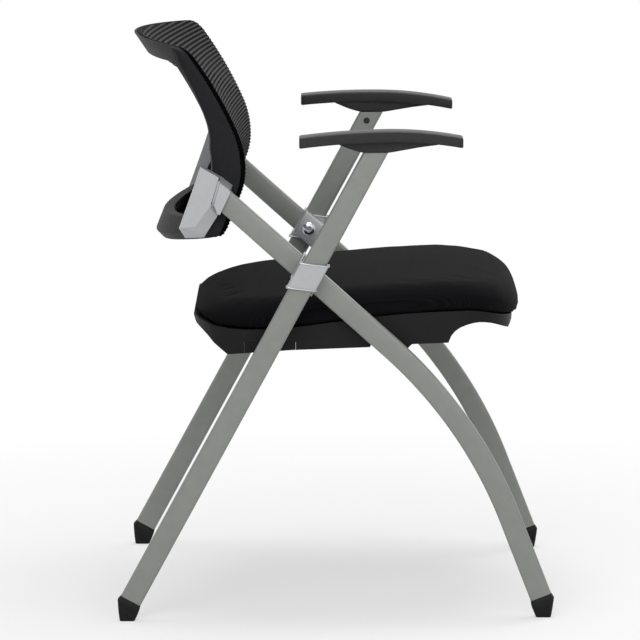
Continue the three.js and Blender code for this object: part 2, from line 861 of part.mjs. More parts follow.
function lowerBeam() {
  const front = railFront + railDepth - beamThickness;
  const rear = railFront + railDepth - seatGap;
  const round = beamThickness / 4;
  return bowedBar(backHalfWidth - railWidth / 2, 16, (y) => {
    const share = y / backHalfWidth;
    const low = backBottom + seatGap - beamDroop * (1 - share * share);
    return [
      [low, front + round], [low + round, front],
      [beamTop - round, front], [beamTop, front + round],
      [beamTop, rear - round], [beamTop - round, rear],
      [low + round, rear], [low, rear - round],
    ];
  });
}

function backScrewPlaces() {
  const lean = backLowerLean;
  return [backScrewFirst, backScrewFirst + backScrewPitch].map((rise) => new THREE.Vector2(
    backEdge(backBottom + rise) - railFront - railDepth * 0.72 + rise * Math.sin(lean) * 0.1,
    backBottom + rise,
  ));
}

function backFrame() {
  const left = sideRail();
  const frame = common(join(left, mirrored(left), topRail(), lowerBeam()), backSilhouette());
  const drills = backScrewPlaces().flatMap((place) => {
    const drill = crossRod(place, backScrewShank / 2 + seatGap,
      backHalfWidth - railWidth - cutOverrun, backHalfWidth + cutOverrun, 5);
    return [drill, mirrored(drill)];
  });
  return cut(frame, ...drills);
}

// The loop that the mesh is stretched over, held in front of the rails
function meshCarrier() {
  const near = meshThickness + seatGap + railTwistRoom;
  const far = near + carrierDepth;
  const low = backBottom + seatGap;
  const high = backTop;
  const steps = 24;
  const rings = [];
  for (let i = 0; i <= steps; i += 1) {
    const z = THREE.MathUtils.lerp(low, high, i / steps);
    const inner = backHalfWidth - carrierWidth;
    rings.push([
      backPoint(inner, z, near), backPoint(backHalfWidth, z, near),
      backPoint(backHalfWidth, z, far), backPoint(inner, z, far),
    ]);
  }
  const side = loft(rings);
  const bar = (from, to) => bowedBar(backHalfWidth - carrierWidth / 2, 24, () => [
    [from, near], [to, near], [to, far], [from, far],
  ]);
  const inset = seatGap / 10;
  const lowBar = bar(low + inset, low + carrierWidth);
  const highBar = bar(high - carrierWidth, high - inset);
  return common(join(side, mirrored(side), lowBar, highBar), backSilhouette());
}

// The ribbed mesh: a thin bowed sheet whose ribs run from side to side between open slots
function backMesh() {
  const low = backBottom + meshRib / 2;
  const high = backTop - meshRib / 4;
  const side = backHalfWidth - seatGap;
  const border = carrierWidth + meshRib / 2;
  const ys = [-side];
  for (let i = 0; i < meshColumns; i += 1) {
    const cell = 2 * (side - border) / meshColumns;
    const from = -side + border + i * cell;
    ys.push(from + (i > 0 ? meshRib / 4 : 0), from + cell - (i + 1 < meshColumns ? meshRib / 4 : 0));
  }
  ys.push(side);
  const zs = [low];
  const pitch = (high - low - 2 * border) / meshRows;
  const slot = Math.min(meshSlotHeight, pitch * 0.6);
  for (let i = 0; i < meshRows; i += 1) {
    const middle = low + border + (i + 0.5) * pitch;
    zs.push(middle - slot / 2, middle + slot / 2);
  }
  zs.push(high);
  return common(pierced(ys, zs), backSilhouette());
}

// A sheet over a grid of lines, open where a row and a column are both odd-numbered
function pierced(ys, zs) {
  const columns = ys.length;
  const vertices = [];
  for (const behind of [0, meshThickness]) {
    for (const z of zs) {
      for (const y of ys) {
        const point = backPoint(y, z, behind);
        vertices.push(point.x, point.y, point.z);
      }
    }
  }
  const layer = columns * zs.length;
  const at = (row, column, side) => side * layer + row * columns + column;
  const solid = (row, column) => {
    const inside = row >= 0 && column >= 0 && row < zs.length - 1 && column < columns - 1;
    return inside && !(row % 2 === 1 && column % 2 === 1);
  };
  const indices = [];
  const quad = (a, b, c, d) => indices.push(a, b, c, a, c, d);
  for (let row = 0; row < zs.length - 1; row += 1) {
    for (let column = 0; column < columns - 1; column += 1) {
      if (solid(row, column)) {
        const corners = [[row, column], [row, column + 1], [row + 1, column + 1], [row + 1, column]];
        quad(...corners.map(([r, c]) => at(r, c, 0)));
        quad(...corners.map(([r, c]) => at(r, c, 1)).reverse());
        const beyond = [[row - 1, column], [row, column + 1], [row + 1, column], [row, column - 1]];
        beyond.forEach(([r, c], k) => {
          if (!solid(r, c)) {
            const from = corners[k];
            const to = corners[(k + 1) % 4];
            quad(at(...to, 0), at(...from, 0), at(...from, 1), at(...to, 1));
          }
        });
      }
    }
  }
  return outward(vertices, indices);
}

function backScrew(index) {
  const place = backScrewPlaces()[index];
  const headPlane = backHalfWidth - railWidth - seatGap - backScrewHeadHeight;
  return crossScrew(place, headPlane, backHalfWidth + backScrewBite,
    backScrewHead, backScrewHeadHeight, backScrewShank);
}

// Castings on the back

// Corners as shares of the casting's length and height from its heel and foot
const bracketOutline_shares = [
  [0.41, 1], [0.76, 0.852], [0.72, 0.31], [0.465, 0.01], [0.115, 0], [0, 0.138], [0.27, 0.69],
];
const bracketFace_shares = [
  [0.41, 0.99], [0.75, 0.845], [0.585, 0.45], [0.31, 0.176], [0.16, 0.158], [0.02, 0.15], [0.275, 0.69],
];
const boss_shares = [
  [0.8, 0.835], [1, 0.722], [0.98, 0.655], [0.745, 0.32], [0.7, 0.32], [0.6, 0.43], [0.76, 0.85],
];

function bracketPoints(shares) {
  return shares.map(([x, z]) => [-bracketHeel + x * bracketLength, bracketFoot + z * bracketHeight]);
}

function backBracket() {
  const inner = backHalfWidth + seatGap;
  const level = (shares, y) => bracketPoints(shares).map(([x, z]) => new THREE.Vector3(x, y, z));
  const plate = loft([
    level(bracketOutline_shares, inner),
    level(bracketOutline_shares, bracketWaist),
    level(bracketFace_shares, bracketFace),
  ]);
  const boss = sidePanel(polygonShape(bracketPoints(boss_shares)), inner, frontTubeOuter + bossWall);
  const pocket = axisBlock(pivot, frontAxis, -backTubeLength - seatGap, 0, tubeWidth + 2 * seatGap,
    frontTubeInner - seatGap, frontTubeOuter + seatGap);
  const drills = backScrewPlaces().map((place) => crossRod(place, backScrewShank / 2 + seatGap,
    inner - cutOverrun, backHalfWidth + backScrewBite + seatGap, 5));
  return cut(join(plate, boss), pocket, ...drills);
}

// Seat

// Seam between shell and cushion, rear to front, as shares of the seat's length and the seam's rise
const seam_shares = [
  [0, 0.45], [0.035, 0.3], [0.06, 0.13], [0.11, 0.02], [0.166, 0], [0.237, 0.02], [0.307, 0.12],
  [0.378, 0.27], [0.449, 0.42], [0.519, 0.58], [0.59, 0.73], [0.661, 0.85], [0.732, 0.93],
  [0.802, 0.98], [0.86, 1], [0.895, 0.93], [0.93, 0.79], [0.965, 0.64], [1, 0.5],
];

function seamPoints() {
  return seam_shares.map(([x, z]) => [-seatRear + x * seatLength, seamLow + z * seamRise]);
}

// Height of a line of points at a place along it
function heightOn(points, x) {
  const index = points.findIndex((point) => point[0] >= x);
  if (index === 0) {
    return points[0][1];
  }
  if (index < 0) {
    return points[points.length - 1][1];
  }
  const [x0, z0] = points[index - 1];
  const [x1, z1] = points[index];
  return THREE.MathUtils.mapLinear(x, x0, x1, z0, z1);
}

function seamHeight(x) {
  return heightOn(seamPoints(), x);
}

// Lower edge of the skirt, front to rear, with the arch behind the front lip as one arc
const skirt_shares = [
  [0.8, -0.545], [0.7, -0.575], [0.56, -0.71], [0.32, -0.84], [0.15, -1], [0.104, -1.08],
  [0.06, -0.62], [0.01, 0.05],
];

function skirtPoints() {
  return skirt_shares.map(([x, z]) => [-seatRear + x * seatLength, seamLow + z * skirtDepth]);
}

function skirtHeight(x) {
  return heightOn(skirtPoints().reverse(), x);
}

function shellOutline() {
  const points = seamPoints();
  const shape = new THREE.Shape();
  shape.moveTo(points[0][0], points[0][1]);
  points.slice(1).forEach(([x, z]) => shape.lineTo(x, z));
  const front = -seatRear + seatLength;
  const [, noseHeight] = points[points.length - 1];
  shape.lineTo(front, noseHeight - shellWall);
  shape.lineTo(front - shellWall * 2, noseHeight - shellWall * 3.6);
  const [archEnd, archFoot] = skirtPoints()[0];
  const skirtLip = archFoot + shellWall / 2;
  const archStart = front - shellWall * 2;
  const archTop = seamLow + skirtDepth * 0.4;
  shape.quadraticCurveTo(archStart - (archStart - archEnd) * 0.4, archTop + shellWall,
    archEnd + (archStart - archEnd) * 0.42, archTop);
  shape.quadraticCurveTo(archEnd + shellWall * 2, archTop - shellWall * 2, archEnd, skirtLip);
  skirtPoints().forEach(([x, z]) => shape.lineTo(x, z));
  shape.closePath();
  return shape;
}

// The room under the plate: the same line lowered by the plate, open below
function shellRoom() {
  const under = rimDrop + shellPlate;
  const wall = shellWall * 1.3;
  const points = seamPoints()
    .filter(([x]) => x > -seatRear + 3 * wall && x < -seatRear + seatLength - 3 * wall)
    .map(([x, z]) => [x, z - under]);
  const first = points[0];
  const last = points[points.length - 1];
  const floor = seamLow - skirtDepth * 2;
  const [rearFoot, rearFootHeight] = skirtPoints()[5];
  const rearLow = rearFoot + wall * 1.6;
  return polygonShape([
    ...points,
    [last[0], floor],
    [rearLow, floor],
    [rearLow, rearFootHeight + shellWall],
    [first[0] + wall, first[1] - wall],
  ]);
}

function seatPlan(inset, corner) {
  const shape = roundedRectangle(seatLength - 2 * inset, 2 * (shellHalfWidth - inset), corner);
  return shape;
}

function planBlock(inset, corner, low, high) {
  const block = planSlab(seatPlan(inset, corner), low, high);
  block.translate(-seatRear + seatLength / 2, 0, 0);
  return block;
}

// Notch in each skirt for a cross tube: an arch over the tube, open below
function rearBearingCut() {
  const half = bearingLength / 2;
  return [
    [rearCrossbar.x - half, rearCrossbar.y], [rearCrossbar.x - half, rearCrossbar.y - skirtDepth],
    [rearCrossbar.x + half, rearCrossbar.y - skirtDepth], [rearCrossbar.x + half, rearCrossbar.y],
  ];
}

function hookThroat(radius, depth) {
  const shape = new THREE.Shape();
  const centre = frontCrossbar;
  shape.moveTo(centre.x + radius, centre.y - depth);
  shape.lineTo(centre.x + radius, centre.y);
  shape.absarc(centre.x, centre.y, radius, 0, Math.PI / 2 + hookCoverage, false);
  const edge = new THREE.Vector2(
    centre.x - radius * Math.sin(hookCoverage),
    centre.y + radius * Math.cos(hookCoverage),
  );
  const fall = edge.y - centre.y + depth;
  shape.lineTo(edge.x - fall * Math.tan(hookFlare), edge.y - fall);
  shape.closePath();
  return shape;
}

// Stiffening ribs under the plate, clear of both cross tubes
function shellRibs() {
  const points = seamPoints().filter(([x]) => x > -seatRear * 0.62 && x < seatLength * 0.42);
  const top = points.map(([x, z]) => [x, z - rimDrop - shellPlate / 2]);
  const low = points.map(([x, z]) => [x, z - rimDrop - shellPlate - ribDepth]).reverse();
  const spine = polygonShape([...top, ...low]);
  const clearance = crossbarRadius + bushWall + 2 * turnGap;
  const ribs = [-1, 0, 1].map((k) => {
    const y = k * shellHalfWidth * 0.5;
    return sidePanel(spine, y - ribThickness / 2, y + ribThickness / 2);
  });
  const room = [rearCrossbar, frontCrossbar].map((place) => crossRod(place, clearance,
    -shellHalfWidth, shellHalfWidth));
  return ribs.map((rib) => cut(rib, ...room));
}

function bearingRange() {
  const outer = shellHalfWidth - shellWall / 2;
  return [outer - bearingWidth, outer];
}

function seatShell() {
  const low = seamLow - skirtDepth * 2;
  const high = seamLow + skirtDepth * 3;
  const outside = common(
    sidePanel(shellOutline(), -shellHalfWidth, shellHalfWidth, 5),
    planBlock(0, shellCorner, low, high),
  );
  const inside = common(
    sidePanel(shellRoom(), -shellHalfWidth, shellHalfWidth),
    planBlock(shellWall, shellCorner - shellWall, low - cutOverrun, high),
  );
  const raised = seamPoints().map(([x, z]) => [x, z - rimDrop]);
  const tray = polygonShape([...raised, [seatLength, high], [-seatLength, high]]);
  const recess = common(
    sidePanel(tray, -shellHalfWidth, shellHalfWidth),
    planBlock(shellWall * 2, shellCorner - shellWall, low, high),
  );
  const [inner, outer] = bearingRange();
  const halfLength = bearingLength / 2;
  const bearing = polygonShape([
    [rearCrossbar.x - halfLength, rearCrossbar.y],
    [rearCrossbar.x + halfLength, rearCrossbar.y],
    [rearCrossbar.x + halfLength, seamHeight(rearCrossbar.x + halfLength) - rimDrop - shellPlate / 2],
    [rearCrossbar.x, seamHeight(rearCrossbar.x) - rimDrop - shellPlate / 2],
    [rearCrossbar.x - halfLength, seamHeight(rearCrossbar.x - halfLength) - rimDrop - shellPlate / 2],
  ]);
  const block = sidePanel(bearing, inner, outer);
  const bearingNotch = sidePanel(polygonShape(rearBearingCut()),
    inner - cutOverrun, shellHalfWidth + cutOverrun);
  const bushHole = crossRod(rearCrossbar, crossbarRadius + bushWall + 2 * seatGap,
    inner - cutOverrun, shellHalfWidth + cutOverrun, 12);
  const throat = sidePanel(hookThroat(crossbarRadius + throatGap, skirtDepth),
    shellHalfWidth - shellWall - cutOverrun, shellHalfWidth + cutOverrun);
  const screwDrills = capScrewPlaces().map((place) => uprightRod(place, smallScrewShank / 2 + seatGap,
    rearCrossbar.y - cutOverrun, capScrewTip() + seatGap));
  const boardDrills = seatScrewPlaces().map((place) => uprightRod(place, smallScrewShank / 2 + seatGap,
    low, high));
  const tools = [bearingNotch, bushHole, throat, ...screwDrills];
  const body = join(cut(outside, inside, recess), block, mirrored(block), ...shellRibs());
  return cut(body, ...tools, ...tools.map(mirrored), ...boardDrills);
}

function uprightRod(place, radius, low, high) {
  const shape = new THREE.Shape();
  shape.absarc(place.x, place.y, radius, 0, Math.PI * 2, false);
  return planSlab(shape, low, high, 5);
}

function hingeBush() {
  const [inner, outer] = bearingRange();
  return crossPipe(rearCrossbar, crossbarRadius + bushWall + seatGap, crossbarRadius + seatGap,
    inner, outer, 10);
}

// The cap that closes each bearing from below
function hingeCap() {
  const [inner, outer] = bearingRange();
  const half = bearingLength / 2 - seatGap * 2;
  const rear = rearCrossbar.x - half;
  const front = rearCrossbar.x + half;
  const outline = polygonShape([
    [rear, rearCrossbar.y - seatGap], [rear, skirtHeight(rear)],
    [front, skirtHeight(front)], [front, rearCrossbar.y - seatGap],
  ]);
  const bore = crossRod(rearCrossbar, crossbarRadius + bushWall + 2 * seatGap,
    inner - cutOverrun, outer + cutOverrun, 12);
  const drills = capScrewPlaces().flatMap((place) => [
    uprightRod(place, smallScrewShank / 2 + seatGap, seamLow - skirtDepth * 2, rearCrossbar.y + cutOverrun),
    uprightRod(place, smallScrewHead / 2 + seatGap, seamLow - skirtDepth * 2,
      capScrewHead(place) + smallScrewHeadHeight + seatGap),
  ]);
  return cut(sidePanel(outline, inner, outer), bore, ...drills);
}

function capScrewPlaces() {
  const [inner, outer] = bearingRange();
  const reach = bearingLength / 2 - smallScrewHead;
  return [-reach, reach].map((offset) => new THREE.Vector2(rearCrossbar.x + offset, (inner + outer) / 2));
}

// The head lies just inside the cap's counterbore
function capScrewHead(place) {
  return skirtHeight(place.x) + seatGap;
}

function capScrewTip() {
  return rearCrossbar.y + smallScrewShank * 2;
}

function uprightScrew(place, headLevel, tipLevel) {
  const profile = [
    new THREE.Vector2(0, headLevel),
    new THREE.Vector2(smallScrewHead * 0.4, headLevel),
    new THREE.Vector2(smallScrewHead / 2, headLevel + smallScrewHeadHeight * 0.5),
    new THREE.Vector2(smallScrewHead / 2, headLevel + smallScrewHeadHeight),
    new THREE.Vector2(smallScrewShank / 2, headLevel + smallScrewHeadHeight),
    new THREE.Vector2(smallScrewShank / 2, tipLevel),
    new THREE.Vector2(0, tipLevel),
  ];
  const screw = new THREE.LatheGeometry(profile, 12);
  screw.rotateX(Math.PI / 2);
  screw.translate(place.x, place.y, 0);
  return screw;
}

function capScrew(index) {
  const place = capScrewPlaces()[index];
  return uprightScrew(place, capScrewHead(place), capScrewTip());
}

// Steel hook under the plate that drops over the front cross tube
function seatHook() {
  const outer = shellHalfWidth - hookInset;
  const inner = outer - hookPlate;
  const rear = frontCrossbar.x - hookRearReach;
  const front = frontCrossbar.x + hookFrontReach;
  const low = frontCrossbar.y - hookBelow;
  const under = (x) => seamHeight(x) - rimDrop - shellPlate - seatGap * 2;
  const outline = polygonShape([
    [rear, under(rear)],
    [rear, frontCrossbar.y + crossbarRadius / 2],
    [frontCrossbar.x - crossbarRadius, frontCrossbar.y],
    [frontCrossbar.x, low],
    [front - hookChamfer, low],
    [front, low + hookChamfer],
    [front, under(front)],
  ]);
  const throat = sidePanel(hookThroat(crossbarRadius + turnGap, hookBelow + cutOverrun),
    inner - cutOverrun, outer + cutOverrun);
  return cut(sidePanel(outline, inner, outer), throat);
}

function boardLine(rise) {
  const low = -seatRear + boardInset;
  const high = -seatRear + seatLength - boardInset;
  return seamPoints().filter(([x]) => x > low && x < high).map(([x, z]) => [x, z + rise]);
}

function boardBody(extra) {
  const bottom = boardLine(seatGap - rimDrop - extra);
  const top = boardLine(seatGap - rimDrop + boardThickness + extra).reverse();
  const side = sidePanel(polygonShape([...bottom, ...top]), -shellHalfWidth, shellHalfWidth);
  const inset = boardInset - extra;
  return common(side, planBlock(inset, boardCorner, seamLow - skirtDepth, seamLow + skirtDepth * 2));
}

function seatBoard() {
  const drills = seatScrewPlaces().map((place) => uprightRod(place, smallScrewShank / 2 + seatGap,
    seamLow - skirtDepth, seatScrewTip(place) + seatGap));
  return cut(boardBody(0), ...drills);
}

function seatScrewPlaces() {
  const middle = -seatRear + seatLength * 0.47;
  return [[-1, -1], [-1, 1], [1, -1], [1, 1]].map(([a, b]) => new THREE.Vector2(
    middle + a * seatScrewReach,
    b * seatScrewSpread,
  ));
}

function seatScrewTip(place) {
  return seamHeight(place.x) - rimDrop + boardThickness * 0.7;
}

function seatScrew(index) {
  const place = seatScrewPlaces()[index];
  const under = seamHeight(place.x) - rimDrop - shellPlate;
  const slope = smallScrewHead * 0.12;
  return uprightScrew(place, under - smallScrewHeadHeight - seatGap - slope, seatScrewTip(place));
}

// Outline of the cushion in plan: a rounded square in polar steps
function cushionPlan(angle, inset) {
  const a = cushionLength / 2 - inset;
  const b = cushionHalfWidth - inset;
  const power = 2 / cushionShape;
  const x = Math.sign(Math.cos(angle)) * Math.abs(Math.cos(angle)) ** power * a;
  const y = Math.sign(Math.sin(angle)) * Math.abs(Math.sin(angle)) ** power * b;
  return new THREE.Vector2(-seatRear - cushionOverhang + cushionLength / 2 + x, y);
}

// Top of the cushion near its sides, rear to front, as shares of the seat's length and the rise
const cushionTop_shares = [
  [0, 0.35], [0.02, 0.44], [0.09, 0.51], [0.24, 0.64], [0.36, 0.76], [0.49, 0.87], [0.66, 0.97],
  [0.79, 1], [0.87, 0.963], [0.944, 0.86], [1.013, 0.66], [1.035, 0.46],
];

function cushionTop(x, y) {
  const points = cushionTop_shares.map(([along, up]) => [
    -seatRear + along * seatLength,
    seamLow + up * cushionRise,
  ]);
  const across = y / cushionHalfWidth;
  return heightOn(points, x) + cushionCrown * (1 - across * across);
}

// How far the side is drawn in below its fullest line, then how it rolls over to the top
const cushionTuck_shares = [[1, 0], [0.3, 0.17], [0, 0.42]];
const cushionRoll_shares = [[0.12, 0.67], [0.45, 0.88], [1, 1]];
const cushionMiddle_shares = [0.03, 0.3, 0.6, 0.85];

function cushionBody() {
  const around = 44;
  const middle = new THREE.Vector2(-seatRear - cushionOverhang + cushionLength / 2, 0);
  const ring = (inset, reach, rise, lowered) => {
    const points = [];
    for (let i = 0; i < around; i += 1) {
      const plan = cushionPlan((i + 0.5) / around * Math.PI * 2, inset);
      plan.lerp(middle, 1 - reach);
      const base = seamHeight(plan.x) - lowered;
      const top = cushionTop(plan.x, plan.y);
      points.push(new THREE.Vector3(plan.x, plan.y, THREE.MathUtils.lerp(base, top, rise)));
    }
    return points;
  };
  const trimmed = cushionOverhang;
  const rings = [
    ...cushionMiddle_shares.map((reach) => ring(cushionTuck, reach, 0, trimmed)),
    ...cushionTuck_shares.map(([share, rise]) => ring(share * cushionTuck, 1, rise, rise > 0 ? 0 : trimmed)),
    ...cushionRoll_shares.map(([share, rise]) => ring(share * cushionRoll, 1, rise, 0)),
    ...[...cushionMiddle_shares].reverse().map((reach) => ring(cushionRoll, reach, 1, 0)),
  ];
  return loft(rings);
}

// The cushion sits on the shell's rim all round and has a pocket for the board
function seatCushion() {
  const points = seamPoints().map(([x, z]) => [x, z + seatGap]);
  const [firstX, firstZ] = points[0];
  const [lastX, lastZ] = points[points.length - 1];
  const floor = seamLow - skirtDepth;
  const under = polygonShape([
    [firstX - cushionTuck * 2, floor],
    [firstX - cushionTuck * 2, firstZ],
    ...points,
    [lastX + cushionLength - seatLength, lastZ],
    [lastX + cushionLength - seatLength, floor],
  ]);
  const half = cushionHalfWidth + cutOverrun;
  return cut(cushionBody(), sidePanel(under, -half, half), boardBody(seatGap));
}

// Assembly

const chair = new THREE.Group();

function add(name, geometry, material) {
  const mesh = new THREE.Mesh(geometry, material);
  mesh.name = name;
  chair.add(mesh);
}

function addPair(name, geometry, material) {
  add(`${name}_left`, geometry, material);
  add(`${name}_right`, mirrored(geometry), material);
}

addPair('front_leg', frontLeg(), greySteel);
addPair('rear_leg', rearLeg(), greySteel);
add('front_crossbar', crossTube(frontCrossbar, frontTubeInner - seatGap), greySteel);
add('rear_crossbar', crossTube(rearCrossbar, rearTubeInner - seatGap), greySteel);
addPair('front_foot', frontFoot(), blackPlastic);
addPair('rear_foot', rearFoot(), blackPlastic);
addPair('front_sleeve', frontSleeve(), castSilver);
addPair('rear_sleeve', rearSleeve(), castSilver);
addPair('pivot_spacer', pivotSpacer(), brightSteel);
addPair('pivot_washer', pivotWasher(), nylon);
addPair('pivot_bolt', pivotBolt(), brightSteel);
addPair('pivot_nut', pivotNut(), brightSteel);
addPair('arm_pad', armPad(), darkPlastic);
addPair('arm_screw', armScrew(), blackPlastic);
add('back_frame', backFrame(), darkPlastic);
add('mesh_carrier', meshCarrier(), blackPlastic);
add('back_mesh', backMesh(), meshFabric);
addPair('back_bracket', backBracket(), castSilver);
addPair('back_screw_lower', backScrew(0), brightSteel);
addPair('back_screw_upper', backScrew(1), brightSteel);
add('seat_shell', seatShell(), darkPlastic);
add('seat_board', seatBoard(), plywood);
add('seat_cushion', seatCushion(), blackFabric);
addPair('hinge_bush', hingeBush(), nylon);
addPair('hinge_cap', hingeCap(), darkPlastic);
addPair('cap_screw_rear', capScrew(0), blackPlastic);
addPair('cap_screw_front', capScrew(1), blackPlastic);
addPair('seat_hook', seatHook(), blackPlastic);
add('seat_screw_rear_right', seatScrew(0), brightSteel);
add('seat_screw_rear_left', seatScrew(1), brightSteel);
add('seat_screw_front_right', seatScrew(2), brightSteel);
add('seat_screw_front_left', seatScrew(3), brightSteel);

// The origin is put under the middle of the outline
const outline = new THREE.Box3().setFromObject(chair);
chair.position.x = -(outline.min.x + outline.max.x) / 2;

export default chair;
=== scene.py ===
"""Dresses a folding nesting chair: tube frame, cast fittings, ribbed mesh back and padded seat."""

import json
import math

import bmesh
import bpy
import numpy as np
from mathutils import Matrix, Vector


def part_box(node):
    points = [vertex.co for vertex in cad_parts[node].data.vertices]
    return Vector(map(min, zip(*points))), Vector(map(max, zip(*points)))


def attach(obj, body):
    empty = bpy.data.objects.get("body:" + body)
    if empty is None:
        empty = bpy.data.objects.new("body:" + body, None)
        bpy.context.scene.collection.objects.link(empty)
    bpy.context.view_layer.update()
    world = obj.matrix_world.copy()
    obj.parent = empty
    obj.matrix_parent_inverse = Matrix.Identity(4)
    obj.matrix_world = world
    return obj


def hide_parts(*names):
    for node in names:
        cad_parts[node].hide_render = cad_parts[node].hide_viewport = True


bl_info = {
    "name": "Nesting Chair",
    "version": (1, 0, 0),
    "blender": (4, 5, 0),
    "location": "3D View > Sidebar > Chair",
    "description": "Builds the surfaces and finishes of a folding nesting chair",
    "category": "Add Mesh",
}

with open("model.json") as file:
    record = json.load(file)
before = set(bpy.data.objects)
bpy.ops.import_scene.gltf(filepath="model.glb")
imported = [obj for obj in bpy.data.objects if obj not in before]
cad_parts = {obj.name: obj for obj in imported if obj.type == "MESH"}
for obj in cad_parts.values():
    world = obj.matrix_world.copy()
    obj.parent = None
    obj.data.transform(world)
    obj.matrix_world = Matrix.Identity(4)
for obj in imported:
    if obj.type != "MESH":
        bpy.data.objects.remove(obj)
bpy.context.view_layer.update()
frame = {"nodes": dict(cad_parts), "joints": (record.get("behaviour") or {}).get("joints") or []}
JOINTS = {joint["name"]: joint for joint in frame["joints"]}
PIVOT = np.array(JOINTS["frame_fold"]["pos_m"]) * 1000
SEAT_AXLE = np.array(JOINTS["seat_lift"]["pos_m"]) * 1000
DRAWN_PIVOT = -38.4  # the pivot's X in the drawing, in millimetres
SHIFT = PIVOT[0] - DRAWN_PIVOT  # from the drawing's X to the frame's
CROSSING = np.array([DRAWN_PIVOT, PIVOT[2]])
QUARTER = math.pi / 2
MIRROR = np.array([1, -1, 1])
SIDES = ("left", "right")


# Sizes and colours that a user would change


def length(name, description, default):
    return bpy.props.FloatProperty(
        name=name, description=description, default=default, unit="LENGTH", subtype="DISTANCE"
    )


def turn(name, description, degrees):
    default = math.radians(degrees)
    return bpy.props.FloatProperty(
        name=name, description=description, default=default, unit="ROTATION", subtype="ANGLE"
    )


def hue(name, description, code):
    return bpy.props.StringProperty(name=name, description=description, default=code)


class FrameSizes(bpy.types.PropertyGroup):
    """Steel tube frame and its fittings"""

    tube_width: length("Tube width", "Broad side of the leg tube", 0.030)
    tube_thickness: length("Tube thickness", "Narrow side of the leg tube", 0.015)
    tube_corner: length("Tube corner", "Outer corner radius of the leg tube", 0.004)
    tube_wall: length("Tube wall", "Wall of the leg tube", 0.0016)
    rear_lean: turn("Rear leg lean", "Lean of the straight leg from upright", 28.47)
    upper_lean: turn("Front leg lean", "Lean of the bent leg above its bend", 48.2)
    lower_lean: turn("Front foot lean", "Lean of the bent leg below its bend", 21.3)
    bend_radius: length("Bend radius", "Radius of the bent leg's centre line", 0.623)
    bend_start: length("Bend start", "Straight run from the pivot to the bend", 0.1515)
    back_run: length("Back run", "Tube above the pivot, up into the casting", 0.176)
    rear_plane: length("Rear leg plane", "Side distance of the straight legs", 0.2805)
    front_plane: length("Front leg plane", "Side distance of the bent legs", 0.255)
    arm_socket: length("Arm socket", "Height at which the straight leg ends", 0.6458)
    collar: length("Foot collar", "Height of the foot cap's collar on the leg's axis", 0.0285)
    crossbar: length("Crossbar", "Diameter of the cross tubes", 0.016)


class BackSizes(bpy.types.PropertyGroup):
    """Bowed back and its mesh"""

    half_width: length("Half width", "Half the width of the back", 0.2435)
    top: length("Top", "Height of the back's top edge at its sides", 0.784)
    bottom: length("Bottom", "Height of the back's lower edge at its sides", 0.524)
    crest: length("Crest height", "Height of the lumbar crest", 0.618)
    crest_setback: length("Crest setback", "Crest's place behind the chair's middle", 0.1224)
    top_bow: length("Top bow", "Depth of the bow at the top", 0.068)
    waist_bow: length("Waist bow", "Depth of the bow at the flatter waist", 0.018)
    bottom_bow: length("Bottom bow", "Depth of the bow at the bottom", 0.050)
    corner: length("Corner", "Radius of the back's corners, seen from the front", 0.012)
    rail_width: length("Rail width", "Width of a side rail", 0.0185)
    rib_pitch: length("Rib pitch", "Height from one mesh rib to the next", 0.0047)
    rib_relief: length("Rib relief", "How far a rib stands out of the mesh", 0.0012)
    rib_droop: length("Rib droop", "How far the ribs sink in the middle of the waist", 0.006)
    top_droop: length("Top droop", "How much further they sink at the top", 0.012)


class SeatSizes(bpy.types.PropertyGroup):
    """Shell and cushion"""

    rear: length("Seat rear", "How far the seat reaches behind the chair's middle", 0.194)
    length: length("Seat length", "Length of the shell", 0.432)
    seam: length("Seam height", "Lowest height of the seam", 0.3955)
    seam_rise: length("Seam rise", "Rise of the seam to its crest", 0.026)
    nose: length("Nose", "How far the nose is drawn out beyond the even outline", 0.0062)
    cushion_length: length("Cushion length", "Length of the cushion", 0.456)
    half_width: length("Half width", "Half the width of the cushion", 0.2325)
    rise: length("Rise", "Height of the cushion's top over the seam's lowest point", 0.0645)
    crown: length("Crown", "How much fuller the cushion is in its middle", 0.007)


class Colours(bpy.types.PropertyGroup):
    """Finishes as sRGB codes"""

    powder_coat: hue("Powder coat", "Light grey coating of the steel tube", "828580")
    casting: hue("Casting", "Silver finish of the cast fittings", "ACAEB0")
    zinc: hue("Zinc plate", "Bolts, nuts and screws of the castings", "BCBFC3")
    black_oxide: hue("Black oxide", "Hook plates and dark screws", "242427")
    back_nylon: hue("Back frame", "Moulded back frame", "202022")
    arm_plastic: hue("Arm pad", "Moulded arm pads", "2E2E2E")
    shell_plastic: hue("Seat shell", "Moulded seat shell", "101011")
    carrier: hue("Mesh carrier", "Black loop that holds the mesh", "0D0D0E")
    mesh: hue("Mesh", "Knitted back mesh", "303031")
    cloth: hue("Seat cloth", "Woven seat cover", "0E0E10")
    foot: hue("Foot cap", "Moulded foot caps", "161617")
    bush_nylon: hue("Bush", "Natural nylon of the bushes and washers", "DCDCD5")
    floor: hue("Floor", "Studio floor", "F4F4F4")


def mm(value):
    """A stored length in millimetres."""
    return value * 1000


def frame_sizes():
    return bpy.context.scene.chair_frame


def back_sizes():
    return bpy.context.scene.chair_back


def seat_sizes():
    return bpy.context.scene.chair_seat


def colours():
    return bpy.context.scene.chair_colours


# Outlines, profiles and paths, all in the drawing's millimetres


def smooth(value, low, high):
    """The smooth step 3t^2 - 2t^3 between two values."""
    share = np.clip((value - low) / (high - low), 0, 1)
    return share * share * (3 - 2 * share)


def quarter_arc(steps):
    """Cosine and sine of even steps through a quarter circle."""
    angle = np.linspace(0, QUARTER, steps + 1)
    return np.cos(angle), np.sin(angle)


def direction(lean, way):
    """Unit vector in XZ, leaning forward by an angle from upright, up (1) or down (-1)."""
    return np.array([math.sin(lean), way * math.cos(lean)])


